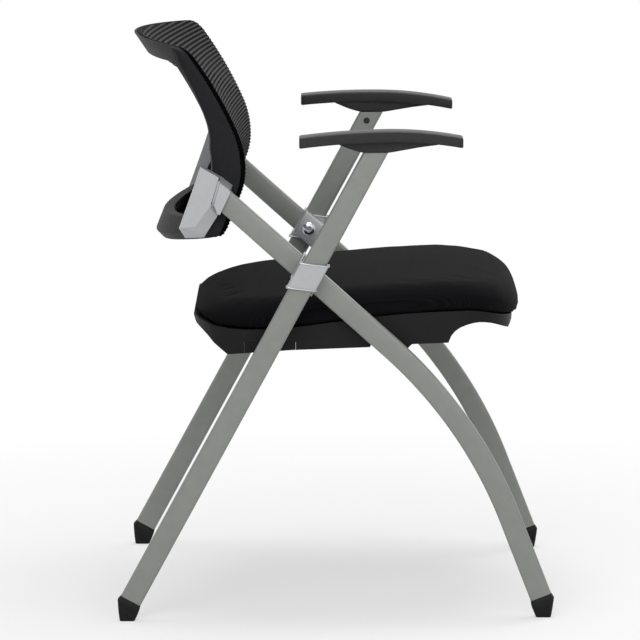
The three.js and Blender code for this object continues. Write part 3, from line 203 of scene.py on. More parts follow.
def rear_axis():
    return direction(frame_sizes().rear_lean, 1)


def front_axis():
    return direction(frame_sizes().upper_lean, -1)


def square_to(axis):
    """The direction across a leg, in the XZ plane."""
    return np.array([axis[1], -axis[0]])


def rear_line():
    """Centre line of a straight leg from its collar to the level where the arm pad sits."""
    sizes = frame_sizes()
    axis = rear_axis()
    heights = np.array([mm(sizes.collar), mm(sizes.arm_socket)])
    return CROSSING + (heights[:, None] - CROSSING[1]) / axis[1] * axis


def front_line(steps=40):
    """Centre line of a bent leg: straight, an arc whose lean falls evenly, straight to the foot."""
    sizes = frame_sizes()
    radius = mm(sizes.bend_radius)
    start = CROSSING + front_axis() * mm(sizes.bend_start)
    centre = start - radius * np.array([math.cos(sizes.upper_lean), math.sin(sizes.upper_lean)])
    lean = np.linspace(sizes.upper_lean, sizes.lower_lean, steps)
    arc = centre + radius * np.stack([np.cos(lean), np.sin(lean)], 1)
    down = direction(sizes.lower_lean, -1)
    foot = arc[-1] + down * (arc[-1][1] - mm(sizes.collar)) / math.cos(sizes.lower_lean)
    return np.vstack([CROSSING - front_axis() * mm(sizes.back_run), arc, foot])


def rounded_box(width, height, radius, steps=5):
    """Closed outline of a rectangle whose corners are quarter circles, anticlockwise."""
    turns = np.arange(4)[:, None] * QUARTER + np.linspace(0, QUARTER, steps + 1)
    signs = np.array([[1, 1], [-1, 1], [-1, -1], [1, -1]])
    centres = signs * [width / 2 - radius, height / 2 - radius]
    arcs = centres[:, None] + radius * np.stack([np.cos(turns), np.sin(turns)], 2)
    return arcs.reshape(-1, 2)


def rounded_outline(corners, radius, steps=4):
    """Closed outline through corners, each replaced by an arc that touches both of its edges.

    An arc takes up at most 0.45 of an edge, so that a short flat is left between two of them.
    """
    corners = np.asarray(corners, float)
    back = np.roll(corners, 1, 0) - corners
    on = np.roll(corners, -1, 0) - corners
    reach = np.minimum(np.linalg.norm(back, axis=1), np.linalg.norm(on, axis=1)) * 0.45
    back /= np.linalg.norm(back, axis=1)[:, None]
    on /= np.linalg.norm(on, axis=1)[:, None]
    half = np.arccos(np.clip((back * on).sum(1), -1, 1)) / 2
    radii = np.minimum(radius, reach * np.tan(half))
    run = (radii / np.tan(half))[:, None]
    middle = back + on
    middle /= np.linalg.norm(middle, axis=1)[:, None]
    centre = corners + middle * (radii / np.sin(half))[:, None]
    first = corners + back * run - centre
    last = corners + on * run - centre
    sweep = (math.pi - 2 * half)[:, None, None]
    t = np.linspace(0, 1, steps + 1)[None, :, None]
    arcs = np.sin((1 - t) * sweep) * first[:, None] + np.sin(t * sweep) * last[:, None]
    return (centre[:, None] + arcs / np.sin(sweep)).reshape(-1, 2)


def steps_along(line):
    """Length of each step from point to point."""
    return np.linalg.norm(np.diff(line, axis=0), axis=1)


def evened(line, step):
    """The same line with points at about equal steps, corners kept."""
    run = np.r_[0, np.cumsum(steps_along(line))]
    places = np.unique(np.r_[run, np.linspace(0, run[-1], int(run[-1] / step))])
    return np.stack([np.interp(places, run, line[:, 0]), np.interp(places, run, line[:, 1])], 1)


def set_up(flat, side):
    """Points in space from places in X and Z and distances to the side."""
    return np.stack([flat[..., 0], side, flat[..., 1]], -1)


def section_sweep(line, plane, profile):
    """Rows of a section carried along a line in X and Z, its first axis across the line."""
    along = np.gradient(line, axis=0)
    along /= np.linalg.norm(along, axis=1)[:, None]
    across = np.stack([along[:, 1], -along[:, 0]], 1)
    flat = line[:, None] + across[:, None] * profile[None, :, :1]
    return set_up(flat, np.broadcast_to(plane + profile[None, :, 1], flat.shape[:2]))


# Meshes and pieces


def new_object(name, data):
    made = bpy.data.objects.new(name, data)
    bpy.context.scene.collection.objects.link(made)
    return made


def rework(mesh, work):
    """Lets a function work on a mesh's editable form."""
    shape = bmesh.new()
    shape.from_mesh(mesh)
    work(shape)
    shape.to_mesh(mesh)
    shape.free()


def points_of(mesh, kind="co"):
    """Each vertex's place in metres, or its normal."""
    values = np.zeros(len(mesh.vertices) * 3, np.float32)
    mesh.vertices.foreach_get(kind, values)
    return values.reshape(-1, 3).astype(float)


def put_points(mesh, points):
    mesh.vertices.foreach_set("co", points.astype(np.float32).ravel())
    mesh.update()


def sheet_faces(rows, columns):
    """Point numbers of the four-sided faces of an open grid, by row and column."""
    index = np.arange(rows * columns).reshape(rows, columns)
    return np.stack([index[:-1, :-1], index[:-1, 1:], index[1:, 1:], index[1:, :-1]], -1)


def grid_mesh(name, grids, closed_rows=False):
    """One mesh from grids of points, rows by columns, with every closed part's faces pointing out.

    Each row is a ring. The rows join in a ring too, or else the first and the last get a cap.
    """
    vertices, faces, start = [], [], 0
    for grid in grids:
        rows, columns = grid.shape[:2]
        index = start + np.arange(rows * columns).reshape(rows, columns)
        below = index if closed_rows else index[:-1]
        above = np.roll(index, -1, 0) if closed_rows else index[1:]
        ring = [below, np.roll(below, -1, 1), np.roll(above, -1, 1), above]
        faces += np.stack(ring, -1).reshape(-1, 4).tolist()
        if not closed_rows:
            faces += [index[0][::-1].tolist(), index[-1].tolist()]
        vertices.append(grid.reshape(-1, 3))
        start += rows * columns
    points = np.vstack(vertices)
    points[:, 0] += SHIFT
    mesh = bpy.data.meshes.new(name)
    mesh.from_pydata((points / 1000).tolist(), [], faces)
    rework(mesh, lambda shape: bmesh.ops.recalc_face_normals(shape, faces=shape.faces))
    return new_object(name, mesh)


def settle(piece, body, slot, nodes, degrees=35):
    """Gives a piece its body, its finish and its solids, and shades it smooth up to an angle."""
    mesh = piece.data
    mesh.polygons.foreach_set("use_smooth", np.ones(len(mesh.polygons), bool))
    mesh.set_sharp_from_angle(angle=math.radians(degrees))
    mesh.materials.clear()
    mesh.materials.append(finish_of(slot))
    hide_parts(*nodes)
    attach(piece, body)


def pair(name, solid, grids, body, slot, degrees=35, closed_rows=False):
    """A piece on the sitter's left and its mirror image on the right."""
    for side, way in zip(SIDES, (1, MIRROR)):
        piece = grid_mesh(f"{name}_{side}", [grid * way for grid in grids], closed_rows)
        settle(piece, body, slot, [f"{solid}_{side}"], degrees)


def worked_copy(node, name, bevel, degrees=45, segments=2):
    """A merged copy of a solid, with its flats joined and its hard edges rounded."""
    mesh = frame["nodes"][node].data.copy()
    mesh.name = name

    def merge(shape):
        bmesh.ops.remove_doubles(shape, verts=shape.verts, dist=2e-6)
        flat = math.radians(0.6)
        bmesh.ops.dissolve_limit(
            shape, angle_limit=flat, verts=shape.verts, edges=shape.edges, delimit=set()
        )

    rework(mesh, merge)
    piece = new_object(name, mesh)
    edge = piece.modifiers.new("edge", "BEVEL")
    edge.width = bevel / 1000
    edge.segments = segments
    edge.limit_method = "ANGLE"
    edge.angle_limit = math.radians(degrees)
    return piece


# Materials


def linear(code, factor=1):
    """Linear colour from an sRGB hex code, made lighter or darker by a factor."""
    values = np.array([int(code[i : i + 2], 16) for i in (0, 2, 4)]) / 255
    scaled = np.where(values <= 0.04045, values / 12.92, ((values + 0.055) / 1.055) ** 2.4)
    return (*np.minimum(scaled * factor, 1).tolist(), 1.0)


def add(tree, kind, inputs=None, feeds=None, **settings):
    """Adds a node with its settings and links.

    An input is a value, a socket or a node, which gives its first output; feeds is a socket.
    """
    made = tree.nodes.new(kind)
    for key, value in settings.items():
        setattr(made, key, value)
    for key, value in (inputs or {}).items():
        if isinstance(value, bpy.types.Node):
            value = value.outputs[0]
        if isinstance(value, bpy.types.NodeSocket):
            tree.links.new(value, made.inputs[key])
        else:
            made.inputs[key].default_value = value
    if feeds is not None:
        tree.links.new(made.outputs[0], feeds)
    return made


def surface(name, values):
    """A new material with uniform values, its tree, its shader's inputs and object coordinates."""
    material = bpy.data.materials.new(name)
    material.use_nodes = True
    tree = material.node_tree
    shader = tree.nodes["Principled BSDF"].inputs
    for key, value in values.items():
        shader[key].default_value = value
    return material, tree, shader, add(tree, "ShaderNodeTexCoord").outputs["Object"]


def colour_ends(ramp, code, low, high):
    """Sets a ramp's two ends, each a position and the factor on the colour there."""
    for end, (position, factor) in zip(ramp.color_ramp.elements, (low, high)):
        end.position = position
        end.color = linear(code, factor)


def mottled(tree, place, shader, code, spread, scale):
    """Base colour that wanders a little lighter and darker over a cloudy pattern."""
    cloud = add(tree, "ShaderNodeTexNoise", {"Vector": place, "Scale": scale, "Detail": 3.0})
    ramp = add(tree, "ShaderNodeValToRGB", {"Fac": cloud}, shader["Base Color"])
    colour_ends(ramp, code, (0.35, 1 - spread), (0.65, 1 + spread))


def uneven(tree, place, shader, scale, detail, low, high):
    """Roughness that wanders between two values over a cloudy pattern, which is given back."""
    cloud = add(tree, "ShaderNodeTexNoise", {"Vector": place, "Scale": scale, "Detail": detail})
    between = {"Value": cloud, "To Min": low, "To Max": high}
    add(tree, "ShaderNodeMapRange", between, shader["Roughness"])
    return cloud


def powder_coated_steel():
    """Polyester powder coat on steel tube: even satin grey, a faint orange peel 2 mm across."""
    values = {"Metallic": 0.15, "Roughness": 0.34}
    material, tree, shader, place = surface("powder_coated_steel", values)
    mottled(tree, place, shader, colours().powder_coat, 0.03, 60)
    peel = add(tree, "ShaderNodeTexNoise", {"Vector": place, "Scale": 450.0, "Detail": 2.0})
    relief = {"Height": peel, "Strength": 0.25, "Distance": 0.0003}
    add(tree, "ShaderNodeBump", relief, shader["Normal"])
    return material


def cast_aluminium():
    """Die-cast aluminium with a silver satin coat: broad soft highlights and a fine cast skin."""
    material, tree, shader, place = surface("cast_aluminium", {"Metallic": 0.4})
    mottled(tree, place, shader, colours().casting, 0.02, 90)
    skin = uneven(tree, place, shader, 300, 4, 0.26, 0.38)
    relief = {"Height": skin, "Strength": 0.15, "Distance": 0.0002}
    add(tree, "ShaderNodeBump", relief, shader["Normal"])
    return material


def zinc_plated_steel():
    """Bright zinc plate on turned steel: mirror-like with fine turning marks."""
    material, tree, shader, place = surface("zinc_plated_steel", {"Metallic": 1.0})
    mottled(tree, place, shader, colours().zinc, 0.05, 250)
    uneven(tree, place, shader, 1500, 2, 0.18, 0.32)
    return material


def black_oxide_steel():
    """Blackened steel: dark with a dull metallic edge."""
    values = {"Metallic": 0.7, "Roughness": 0.42}
    material, tree, shader, place = surface("black_oxide_steel", values)
    mottled(tree, place, shader, colours().black_oxide, 0.12, 220)
    return material


def moulded(name, code, grain, depth, low, high, spread=0.06, shine=0.15):
    """Injection-moulded plastic with a spark-eroded grain.

    The grain is a pebble size in mm with its depth in m; low and high bound the roughness.
    """
    material, tree, shader, place = surface(name, {"Specular IOR Level": shine})
    mottled(tree, place, shader, code, spread, 140)
    pebbles = {"Vector": place, "Scale": 1000 / grain, "Randomness": 1.0}
    height = add(tree, "ShaderNodeTexVoronoi", pebbles)
    relief = {"Height": height, "Strength": 0.6, "Distance": depth}
    add(tree, "ShaderNodeBump", relief, shader["Normal"])
    uneven(tree, place, shader, 220, 3, low, high)
    return material


def glass_filled_nylon():
    """Glass-filled nylon of the back frame: dark grey, fine even grain, low sheen."""
    code = colours().back_nylon
    return moulded("glass_filled_nylon", code, 1.1, 0.0002, 0.45, 0.58, shine=0.07)


def arm_polypropylene():
    """Polypropylene arm pad: dark grey, fine grain, a satin sheen on its crown."""
    return moulded("arm_polypropylene", colours().arm_plastic, 0.9, 0.00015, 0.36, 0.48)


def shell_polypropylene():
    """Polypropylene seat shell: charcoal, slightly coarser grain."""
    code = colours().shell_plastic
    return moulded("shell_polypropylene", code, 1.4, 0.00025, 0.42, 0.55, shine=0.16)


def black_polypropylene():
    """Black polypropylene of the mesh carrier."""
    return moulded("black_polypropylene", colours().carrier, 1.0, 0.0002, 0.5, 0.62)


def foot_polyethylene():
    """Polyethylene foot caps: black with a waxy low sheen, scuffed a little lighter."""
    return moulded("foot_polyethylene", colours().foot, 1.6, 0.0003, 0.45, 0.65, 0.2)


def natural_nylon():
    """Turned natural nylon: off-white and slightly waxy."""
    return moulded("natural_nylon", colours().bush_nylon, 1.2, 0.0001, 0.4, 0.5, 0.03)


def beech_plywood():
    """Sanded beech plywood: long pale grain along X, 3 mm from line to line."""
    material, tree, shader, place = surface("beech_plywood", {"Roughness": 0.6})
    drawn = add(tree, "ShaderNodeMapping", {"Vector": place, "Scale": (14.0, 330.0, 330.0)})
    lines = {"Vector": drawn, "Scale": 1.0, "Detail": 6.0, "Distortion": 0.4}
    grain = add(tree, "ShaderNodeTexNoise", lines)
    ramp = add(tree, "ShaderNodeValToRGB", {"Fac": grain}, shader["Base Color"])
    for end, code in zip(ramp.color_ramp.elements, ("9C7444", "D2B286")):
        end.color = linear(code)
    return material


def thread_bands(spacing):
    """Scale of a wave texture whose bands lie so many millimetres apart."""
    return math.pi / 10 / (spacing / 1000)


def woven(tree, place, spacing):
    """Height of a plain weave: two sets of round threads, each a sine across its own direction."""
    threads = {"Vector": place, "Scale": thread_bands(spacing)}
    threads |= {"Distortion": 0.6, "Detail": 1.0, "Detail Scale": 2.0}
    warp, weft = (
        add(tree, "ShaderNodeTexWave", threads, bands_direction=axis).outputs["Fac"]
        for axis in ("X", "Y")
    )
    return add(tree, "ShaderNodeMath", {0: warp, 1: weft}, operation="MAXIMUM")


def seat_cloth():
    """Woven polyester seat cover: near black, matt, with a soft nap.

    Its threads are 0.7 mm apart; they are drawn 1.6 mm apart so that they show.
    """
    values = {"Roughness": 0.92, "Specular IOR Level": 0.03}
    values |= {"Sheen Weight": 0.03, "Sheen Roughness": 0.5}
    material, tree, shader, place = surface("seat_cloth", values)
    height = woven(tree, place, 1.6)
    ramp = add(tree, "ShaderNodeValToRGB", {"Fac": height}, shader["Base Color"])
    colour_ends(ramp, colours().cloth, (0, 0.45), (1, 1.5))
    relief = {"Height": height, "Strength": 0.5, "Distance": 0.0004}
    add(tree, "ShaderNodeBump", relief, shader["Normal"])
    return material


def knitted_mesh():
    """Ribbed polyester mesh: grey rib crests over black valleys, which are a painted highlight and
    painted shade.

    Its upright threads lie less than 1 mm apart; they are drawn 2.4 mm apart so that they show.
    """
    values = {"Roughness": 0.6, "Specular IOR Level": 0.02}
    material, tree, shader, place = surface("knitted_mesh", values)
    # The rib attribute carries painted light: the ramp paints a highlight on the crests, up to 3.2
    # times the knit's colour, and near-black shade in the valleys and where the mesh turns round
    # the edge.
    crest = add(tree, "ShaderNodeAttribute", attribute_name="rib").outputs["Fac"]
    ramp = add(tree, "ShaderNodeValToRGB", {"Fac": crest})
    colour_ends(ramp, colours().mesh, (0.35, 0.02), (1, 3.2))
    bands = {"Vector": place, "Scale": thread_bands(2.4), "Distortion": 0.4, "Detail": 1.0}
    threads = add(tree, "ShaderNodeTexWave", bands, bands_direction="Y").outputs["Fac"]
    shade = add(tree, "ShaderNodeMapRange", {"Value": threads, "To Min": 0.75, "To Max": 1.15})
    shaded = {0: ramp, "Scale": shade}
    add(tree, "ShaderNodeVectorMath", shaded, shader["Base Color"], operation="SCALE")
    relief = {"Height": threads, "Strength": 0.35, "Distance": 0.0003}
    add(tree, "ShaderNodeBump", relief, shader["Normal"])
    return material


FINISHES = {
    "frame_grey": powder_coated_steel,
    "cast_silver": cast_aluminium,
    "zinc": zinc_plated_steel,
    "black_steel": black_oxide_steel,
    "back_plastic": glass_filled_nylon,
    "arm_plastic": arm_polypropylene,
    "shell_plastic": shell_polypropylene,
    "black_plastic": black_polypropylene,
    "foot_rubber": foot_polyethylene,
    "nylon": natural_nylon,
    "plywood": beech_plywood,
    "seat_fabric": seat_cloth,
    "mesh_fabric": knitted_mesh,
}
MADE = {}


def finish_of(slot):
    """The material of a slot, made once."""
    if slot not in MADE:
        MADE[slot] = FINISHES[slot]()
    return MADE[slot]


def coat(slot, *nodes):
    """Puts a finish on solids that stay."""
    for node in nodes:
        for held in frame["nodes"][node].material_slots:
            held.material = finish_of(slot)


# Operators


class CHAIR_OT_stage(bpy.types.Operator):
    """Camera at the photograph's angle, soft studio light and a plain pale floor"""

    bl_idname = "chair.stage"
    bl_label = "Stage"

    AIM = np.array([-21.9 + SHIFT, 0, 376.3]) / 1000
    DISTANCE = 6.692
    TILT = math.radians(8.19)
    LENS = 265
    # name, place, size and power: two on the sitter's right, one above, one in front on the left
    LAMPS = (
        ("key", (-0.7, -2.9, 2.1), 1.8, 38),
        ("fill", (1.0, -3.1, 1.4), 2.0, 20),
        ("top", (0.1, 0.3, 3.0), 1.6, 44),
        ("front", (2.2, 2.3, 1.9), 1.8, 20),
    )
    LAMP_AIM = np.array([0, 0, 0.4])
    SKY = 0.27

    def execute(self, context):
        scene = context.scene
        camera = bpy.data.cameras.new("camera")
        camera.sensor_width = 36
        camera.lens = self.LENS
        camera.clip_end = 100
        eye = new_object("camera", camera)
        away = np.array([0, -math.cos(self.TILT), math.sin(self.TILT)])
        eye.location = self.AIM + self.DISTANCE * away
        eye.rotation_euler = (QUARTER - self.TILT, 0, 0)
        scene.camera = eye
        scene.view_settings.view_transform = "Standard"
        scene.world = self.sky()
        for name, place, size, power in self.LAMPS:
            self.lamp(name, place, size, power)
        self.floor()
        return {"FINISHED"}

    def sky(self):
        """An even pale sky, seen as plain white by the camera and by shiny and clear surfaces."""
        world = bpy.data.worlds.new("studio")
        world.use_nodes = True
        tree = world.node_tree
        dim = tree.nodes["Background"]
        dim.inputs["Color"].default_value = (1, 1, 1, 1)
        dim.inputs["Strength"].default_value = self.SKY
        white = add(tree, "ShaderNodeBackground", {"Color": (1, 1, 1, 1), "Strength": 1.0})
        rays = add(tree, "ShaderNodeLightPath").outputs
        share = rays["Is Camera Ray"]
        for kind in ("Is Glossy Ray", "Is Transmission Ray"):
            share = add(tree, "ShaderNodeMath", {0: share, 1: rays[kind]}, operation="MAXIMUM")
        output = tree.nodes["World Output"].inputs["Surface"]
        add(tree, "ShaderNodeMixShader", {0: share, 1: dim, 2: white}, output)
        return world

    def lamp(self, name, place, size, power):
        """A square soft lamp turned towards the chair."""
        lamp = bpy.data.lights.new(name, "AREA")
        lamp.size = size
        lamp.energy = power
        holder = new_object(name, lamp)
        holder.location = place
        x, y, z = self.LAMP_AIM - place
        holder.rotation_euler = (math.atan2(math.hypot(x, y), -z), 0, math.atan2(-x, y))

    def floor(self):
        """A flat pale sheet, 18 m square in half-metre steps."""
        count = 37
        run = np.linspace(-9, 9, count)
        points = np.stack([*np.meshgrid(run, run), np.zeros((count, count))], -1)
        faces = sheet_faces(count, count).reshape(-1, 4)
        mesh = bpy.data.meshes.new("floor")
        mesh.from_pydata(points.reshape(-1, 3).tolist(), [], faces.tolist())
        floor = new_object("floor", mesh)
        mesh.materials.append(self.paper())

    def paper(self):
        """Matt white paper that keeps the chair's shadow.

        White light is added where the camera or metal sees it, more of it further out.
        """
        values = {"Roughness": 0.9, "Specular IOR Level": 0.0}
        material, tree, shader, place = surface("studio_floor", values)
        mottled(tree, place, shader, colours().floor, 0.004, 3)
        white = add(tree, "ShaderNodeEmission", {"Color": (1, 1, 1, 1), "Strength": 1.0})
        away = add(tree, "ShaderNodeVectorMath", {0: place}, operation="LENGTH").outputs["Value"]
        far = add(tree, "ShaderNodeMapRange", {"Value": away, "From Min": 0.3, "From Max": 1.3})
        near = add(tree, "ShaderNodeMapRange", {"Value": far, "To Min": 0.5, "To Max": 1.0})
        rays = add(tree, "ShaderNodeLightPath").outputs
        either = {0: rays["Is Camera Ray"], 1: rays["Is Glossy Ray"]}
        seen = add(tree, "ShaderNodeMath", either, operation="MAXIMUM")
        share = add(tree, "ShaderNodeMath", {0: seen, 1: near}, operation="MULTIPLY")
        output = tree.nodes["Material Output"].inputs["Surface"]
        lit = {0: share, 1: tree.nodes["Principled BSDF"], 2: white}
        add(tree, "ShaderNodeMixShader", lit, output)
        return material


class CHAIR_OT_legs(bpy.types.Operator):
    """Two straight and two bent legs of flat-sided steel tube, and the two cross tubes"""

    bl_idname = "chair.legs"
    bl_label = "Legs"

    CROSS_WALL = 1.5
    CROSS_GAP = 0.3  # between a cross tube's end and the leg

    def execute(self, context):
        sizes = frame_sizes()
        rear = self.tube(evened(rear_line(), 60), sizes.rear_plane, mm(sizes.arm_socket))
        front = self.tube(evened(front_line(), 14), sizes.front_plane)
        pair("rear_tube", "rear_leg", [rear], "rear_frame", "frame_grey", closed_rows=True)
        pair("front_tube", "front_leg", [front], "front_frame", "frame_grey", closed_rows=True)
        for kind, place, plane in (
            ("rear", SEAT_AXLE[[0, 2]] - [SHIFT, 0], sizes.rear_plane),
            ("front", self.front_place(), sizes.front_plane),
        ):
            reach = mm(plane) - mm(sizes.tube_thickness) / 2 - self.CROSS_GAP
            piece = grid_mesh(f"{kind}_cross_tube", [self.bar(place, reach)], closed_rows=True)
            settle(piece, f"{kind}_frame", "frame_grey", [f"{kind}_crossbar"])
        return {"FINISHED"}

    def tube(self, line, plane, level=None):
        """Outer wall down the line and inner wall back up it, so that the ends show the wall.

        A level cuts the last row off flat: its points slide along the leg to that height.
        """
        sizes = frame_sizes()
        width, thickness = mm(sizes.tube_width), mm(sizes.tube_thickness)
        corner, wall = mm(sizes.tube_corner), mm(sizes.tube_wall)
        bore = rounded_box(width - 2 * wall, thickness - 2 * wall, corner - wall)
        outer = section_sweep(line, mm(plane), rounded_box(width, thickness, corner))
        inner = section_sweep(line, mm(plane), bore)
        if level is not None:
            slope = rear_axis()[0] / rear_axis()[1]
            for rows in (outer, inner):
                rows[-1, :, 0] += (level - rows[-1, :, 2]) * slope
                rows[-1, :, 2] = level
        return np.concatenate([outer, inner[::-1]])

    def bar(self, place, reach):
        """A round tube along Y: a circle at each end, outside and inside."""
        angle = np.linspace(0, 2 * math.pi, 48, endpoint=False)
        circle = np.stack([np.cos(angle), np.zeros_like(angle), np.sin(angle)], 1)
        outer = mm(frame_sizes().crossbar) / 2
        inner = outer - self.CROSS_WALL
        centre = np.array([place[0], 0, place[1]])
        ends = ((outer, -reach), (outer, reach), (inner, reach), (inner, -reach))
        return np.stack([centre + circle * radius + [0, side, 0] for radius, side in ends])

    def front_place(self):
        low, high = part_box("front_crossbar")
        return np.array([(low.x + high.x) / 2 * 1000 - SHIFT, (low.z + high.z) / 2 * 1000])


class CHAIR_OT_feet(bpy.types.Operator):
    """Foot caps: a collar under the tube's end that tapers to a level sole"""

    bl_idname = "chair.feet"
    bl_label = "Feet"

    SOLE_HEIGHT = 19  # the sole stands under the leg axis's point at this height
    COLLAR_DEPTH = 7
    # place along the leg, growth over the tube, corner radius
    COLLAR = (
        (-0.3, -1.0, 3.5), (-0.3, -0.2, 4.0), (-0.8, 0.4, 4.2),
        (-4.0, 2.2, 4.6), (-6.4, 3.1, 4.8), (-7.4, 3.2, 4.8),
    )
    # share of the way to the sole, size in X, size in Y, corner radius
    TAPER = (
        (0.25, 30, 17, 4.6), (0.6, 25.6, 15.4, 4.2), (0.92, 21.4, 13.9, 3.6),
        (0.985, 20.4, 13.2, 3.2), (1.0, 18.8, 11.6, 2.6),
    )

    def execute(self, context):
        sizes = frame_sizes()
        foot_axis = -direction(sizes.lower_lean, -1)
        rear = self.cap(rear_line()[0], rear_axis(), mm(sizes.rear_plane))
        front = self.cap(front_line()[-1], foot_axis, mm(sizes.front_plane))
        pair("rear_cap", "rear_foot", [rear], "rear_frame", "foot_rubber", 40)
        pair("front_cap", "front_foot", [front], "front_frame", "foot_rubber", 40)
        return {"FINISHED"}

    def cap(self, collar, axis, plane):
        """Rounded rectangles down the leg, square to it at the collar and level at the floor."""
        sizes = frame_sizes()
        across = square_to(axis)
        level = np.array([1.0, 0.0])
        sole = collar + axis * (self.SOLE_HEIGHT - collar[1]) / axis[1]
        lip = collar - axis * self.COLLAR_DEPTH
        rows = []
        for fall, growth, radius in self.COLLAR:
            width, thickness = mm(sizes.tube_width) + growth, mm(sizes.tube_thickness) + growth
            profile = rounded_box(width, thickness, radius)
            flat = (collar + axis * fall) + across * profile[:, :1]
            rows.append(set_up(flat, plane + profile[:, 1]))
        for share, width, thickness, radius in self.TAPER:
            profile = rounded_box(width, thickness, radius)
            centre = lip + (np.array([sole[0], 0]) - lip) * share
            lean = across * (1 - share) + level * share
            lean /= np.linalg.norm(lean)
            flat = centre + lean * profile[:, :1]
            flat[:, 1] = np.maximum(flat[:, 1], 0)
            rows.append(set_up(flat, plane + profile[:, 1]))
        return np.stack(rows)


class CHAIR_OT_sleeves(bpy.types.Operator):
    """Cast sleeves round both tubes at each crossing, with slanted ends"""

    bl_idname = "chair.sleeves"
    bl_label = "Sleeves"

    REAR_LENGTH, FRONT_LENGTH = 40.0, 38.0
    REAR_SLANT = math.radians(7)
    WALL, PLAY = 3.3, 0.3
    # distance from the end and inset: a small round, a lip that stands out, then the plain wall
    RIM = (
        (0, 0.1), (0.1, -0.6), (0.4, -1.0), (1.2, -1.2),
        (1.9, -1.0), (2.3, -0.4), (2.7, 0.0), (4.5, 0.0),
    )

    def execute(self, context):
        sizes = frame_sizes()
        cut = np.array([math.cos(self.REAR_SLANT), -math.sin(self.REAR_SLANT)])
        rear = self.sleeve(rear_axis(), cut, self.REAR_LENGTH, mm(sizes.rear_plane))
        front = self.sleeve(front_axis(), rear_axis(), self.FRONT_LENGTH, mm(sizes.front_plane))
        for kind, grid in (("rear", rear), ("front", front)):
            names = f"{kind}_clamp", f"{kind}_sleeve"
            pair(*names, [grid], f"{kind}_frame", "cast_silver", 28, closed_rows=True)
        for side in SIDES:
            coat("zinc", f"pivot_bolt_{side}", f"pivot_nut_{side}", f"pivot_spacer_{side}")
            coat("nylon", f"pivot_washer_{side}")
        return {"FINISHED"}

    def sleeve(self, axis, slant, run, plane):
        """A ring section carried along the tube, outside forward and inside back.

        A point lies at the crossing, plus the axis by its run, plus the slanted end direction by
        its place across. Each end stands out as a rounded lip.
        """
        sizes = frame_sizes()
        along = slant / slant.dot(square_to(axis))
        width, thickness = mm(sizes.tube_width), mm(sizes.tube_thickness)
        rows = [(-run / 2 + fall, gap) for fall, gap in self.RIM]
        rows += [(run / 2 - fall, gap) for fall, gap in self.RIM[::-1]]
        rings = []
        for place, gap in rows:
            wide, thick = width + 2 * self.WALL - 2 * gap, thickness + 2 * self.WALL - 2 * gap
            rings.append((place, rounded_box(wide, thick, 2.4)))
        play = 2 * self.PLAY
        bore = rounded_box(width + play, thickness + play, mm(sizes.tube_corner) + self.PLAY)
        rings += [(run / 2, bore), (-run / 2, bore)]
        return np.stack([
            set_up(CROSSING + axis * place + along * profile[:, :1], plane + profile[:, 1])
            for place, profile in rings
        ])


class CHAIR_OT_arms(bpy.types.Operator):
    """Arm pads: a crowned bar that toes in, on a keel that closes the leg's top end"""

    bl_idname = "chair.arms"
    bl_label = "Arms"

    REAR, FRONT = -50, 172
    WIDTH, CROWN = 44, 3.2
    TOE_IN = math.tan(math.radians(8.3))
    TOP, CREST = 675.7, 69  # highest line of the bar and its X
    # the top edge's run and fall from the crest, to the rear and to the front
    REAR_RUN, REAR_FALL = 119, 7.0
    FRONT_RUN, FRONT_FALL = 104.5, 10.9
    DEPTH, THINNER = 13.8, 1.0  # and what the front end has less
    PLANE, PLANE_AT = 280.5 + 5.6, 61  # side distance of the middle line and the X where it has it
    ROUND, FLAT = 3.2, (-42, 164)  # the ends' round, and the even run between them
    KEEL_WIDTH, KEEL_ROUND, KEEL_IN = 18.6, 2.2, 4
    # X and lower edge of the keel's sections
    KEEL = (
        (-2, 660), (2, 658), (10, 654.6), (22, 650), (33, 646.9), (37.4, 646.2), (40, 646.1),
        (68, 646.1), (72.5, 646.2), (80, 647.4), (96, 650.2), (112, 653), (126, 654.9),
        (137, 656.2), (141, 657.5),
    )

    def execute(self, context):
        pair("arm_rest", "arm_pad", [self.bar(), self.keel()], "rear_frame", "arm_plastic", 40)
        coat("black_steel", "arm_screw_left", "arm_screw_right")
        return {"FINISHED"}

    def top(self, x):
        """Top edge: two parabolas from the crest, one to each end."""
        behind = x < self.CREST
        rear, front = (self.CREST - x) / self.REAR_RUN, (x - self.CREST) / self.FRONT_RUN
        share = np.where(behind, rear, front)
        return self.TOP - np.where(behind, self.REAR_FALL, self.FRONT_FALL) * share**2

    def depth(self, x):
        """Thickness: even behind the crest, a little less towards the front end."""
        return self.DEPTH - self.THINNER * np.clip((x - 90) / 82, 0, 1)

    def middle(self, x):
        """Side distance of the bar's middle line, straight and toed in towards the front."""
        return self.PLANE - (x - self.PLANE_AT) * self.TOE_IN

    def bar(self):
        """Rounded sections along X; near both ends they shrink along a quarter round."""
        cosine, sine = quarter_arc(5)
        run, gap = self.ROUND * (1 - cosine), self.ROUND * (1 - sine)
        x = np.r_[self.REAR + run, np.linspace(*self.FLAT, 44), self.FRONT - run[::-1]]
        rows = []
        for place, shrink in zip(x, np.r_[gap, np.zeros(44), gap[::-1]]):
            depth = float(self.depth(place))
            profile = rounded_box(self.WIDTH - 2 * shrink, depth - shrink * 1.2, 1.6)
            across, up = profile.T
            crown = np.where(up > 0, self.CROWN * (1 - (across / (self.WIDTH / 2)) ** 2), 0)
            z = self.top(place) - depth / 2 + up + crown
            rows.append(np.stack([np.full(len(z), place), self.middle(place) + across, z], 1))
        return np.stack(rows)

    def keel(self):
        """Sections along X from the tube's top face up into the bar."""
        rows = []
        for place, floor in self.KEEL:
            roof = float(self.top(place)) - self.KEEL_IN
            across, up = rounded_box(self.KEEL_WIDTH, roof - floor, self.KEEL_ROUND).T
            side = np.interp(place, [-2, 20, 60, 141], [285.5, 283.0, 281.0, 277.5])
            z = (roof + floor) / 2 + up
            rows.append(np.stack([np.full(len(z), place), side + across, z], 1))
        return np.stack(rows)


# The back's surface

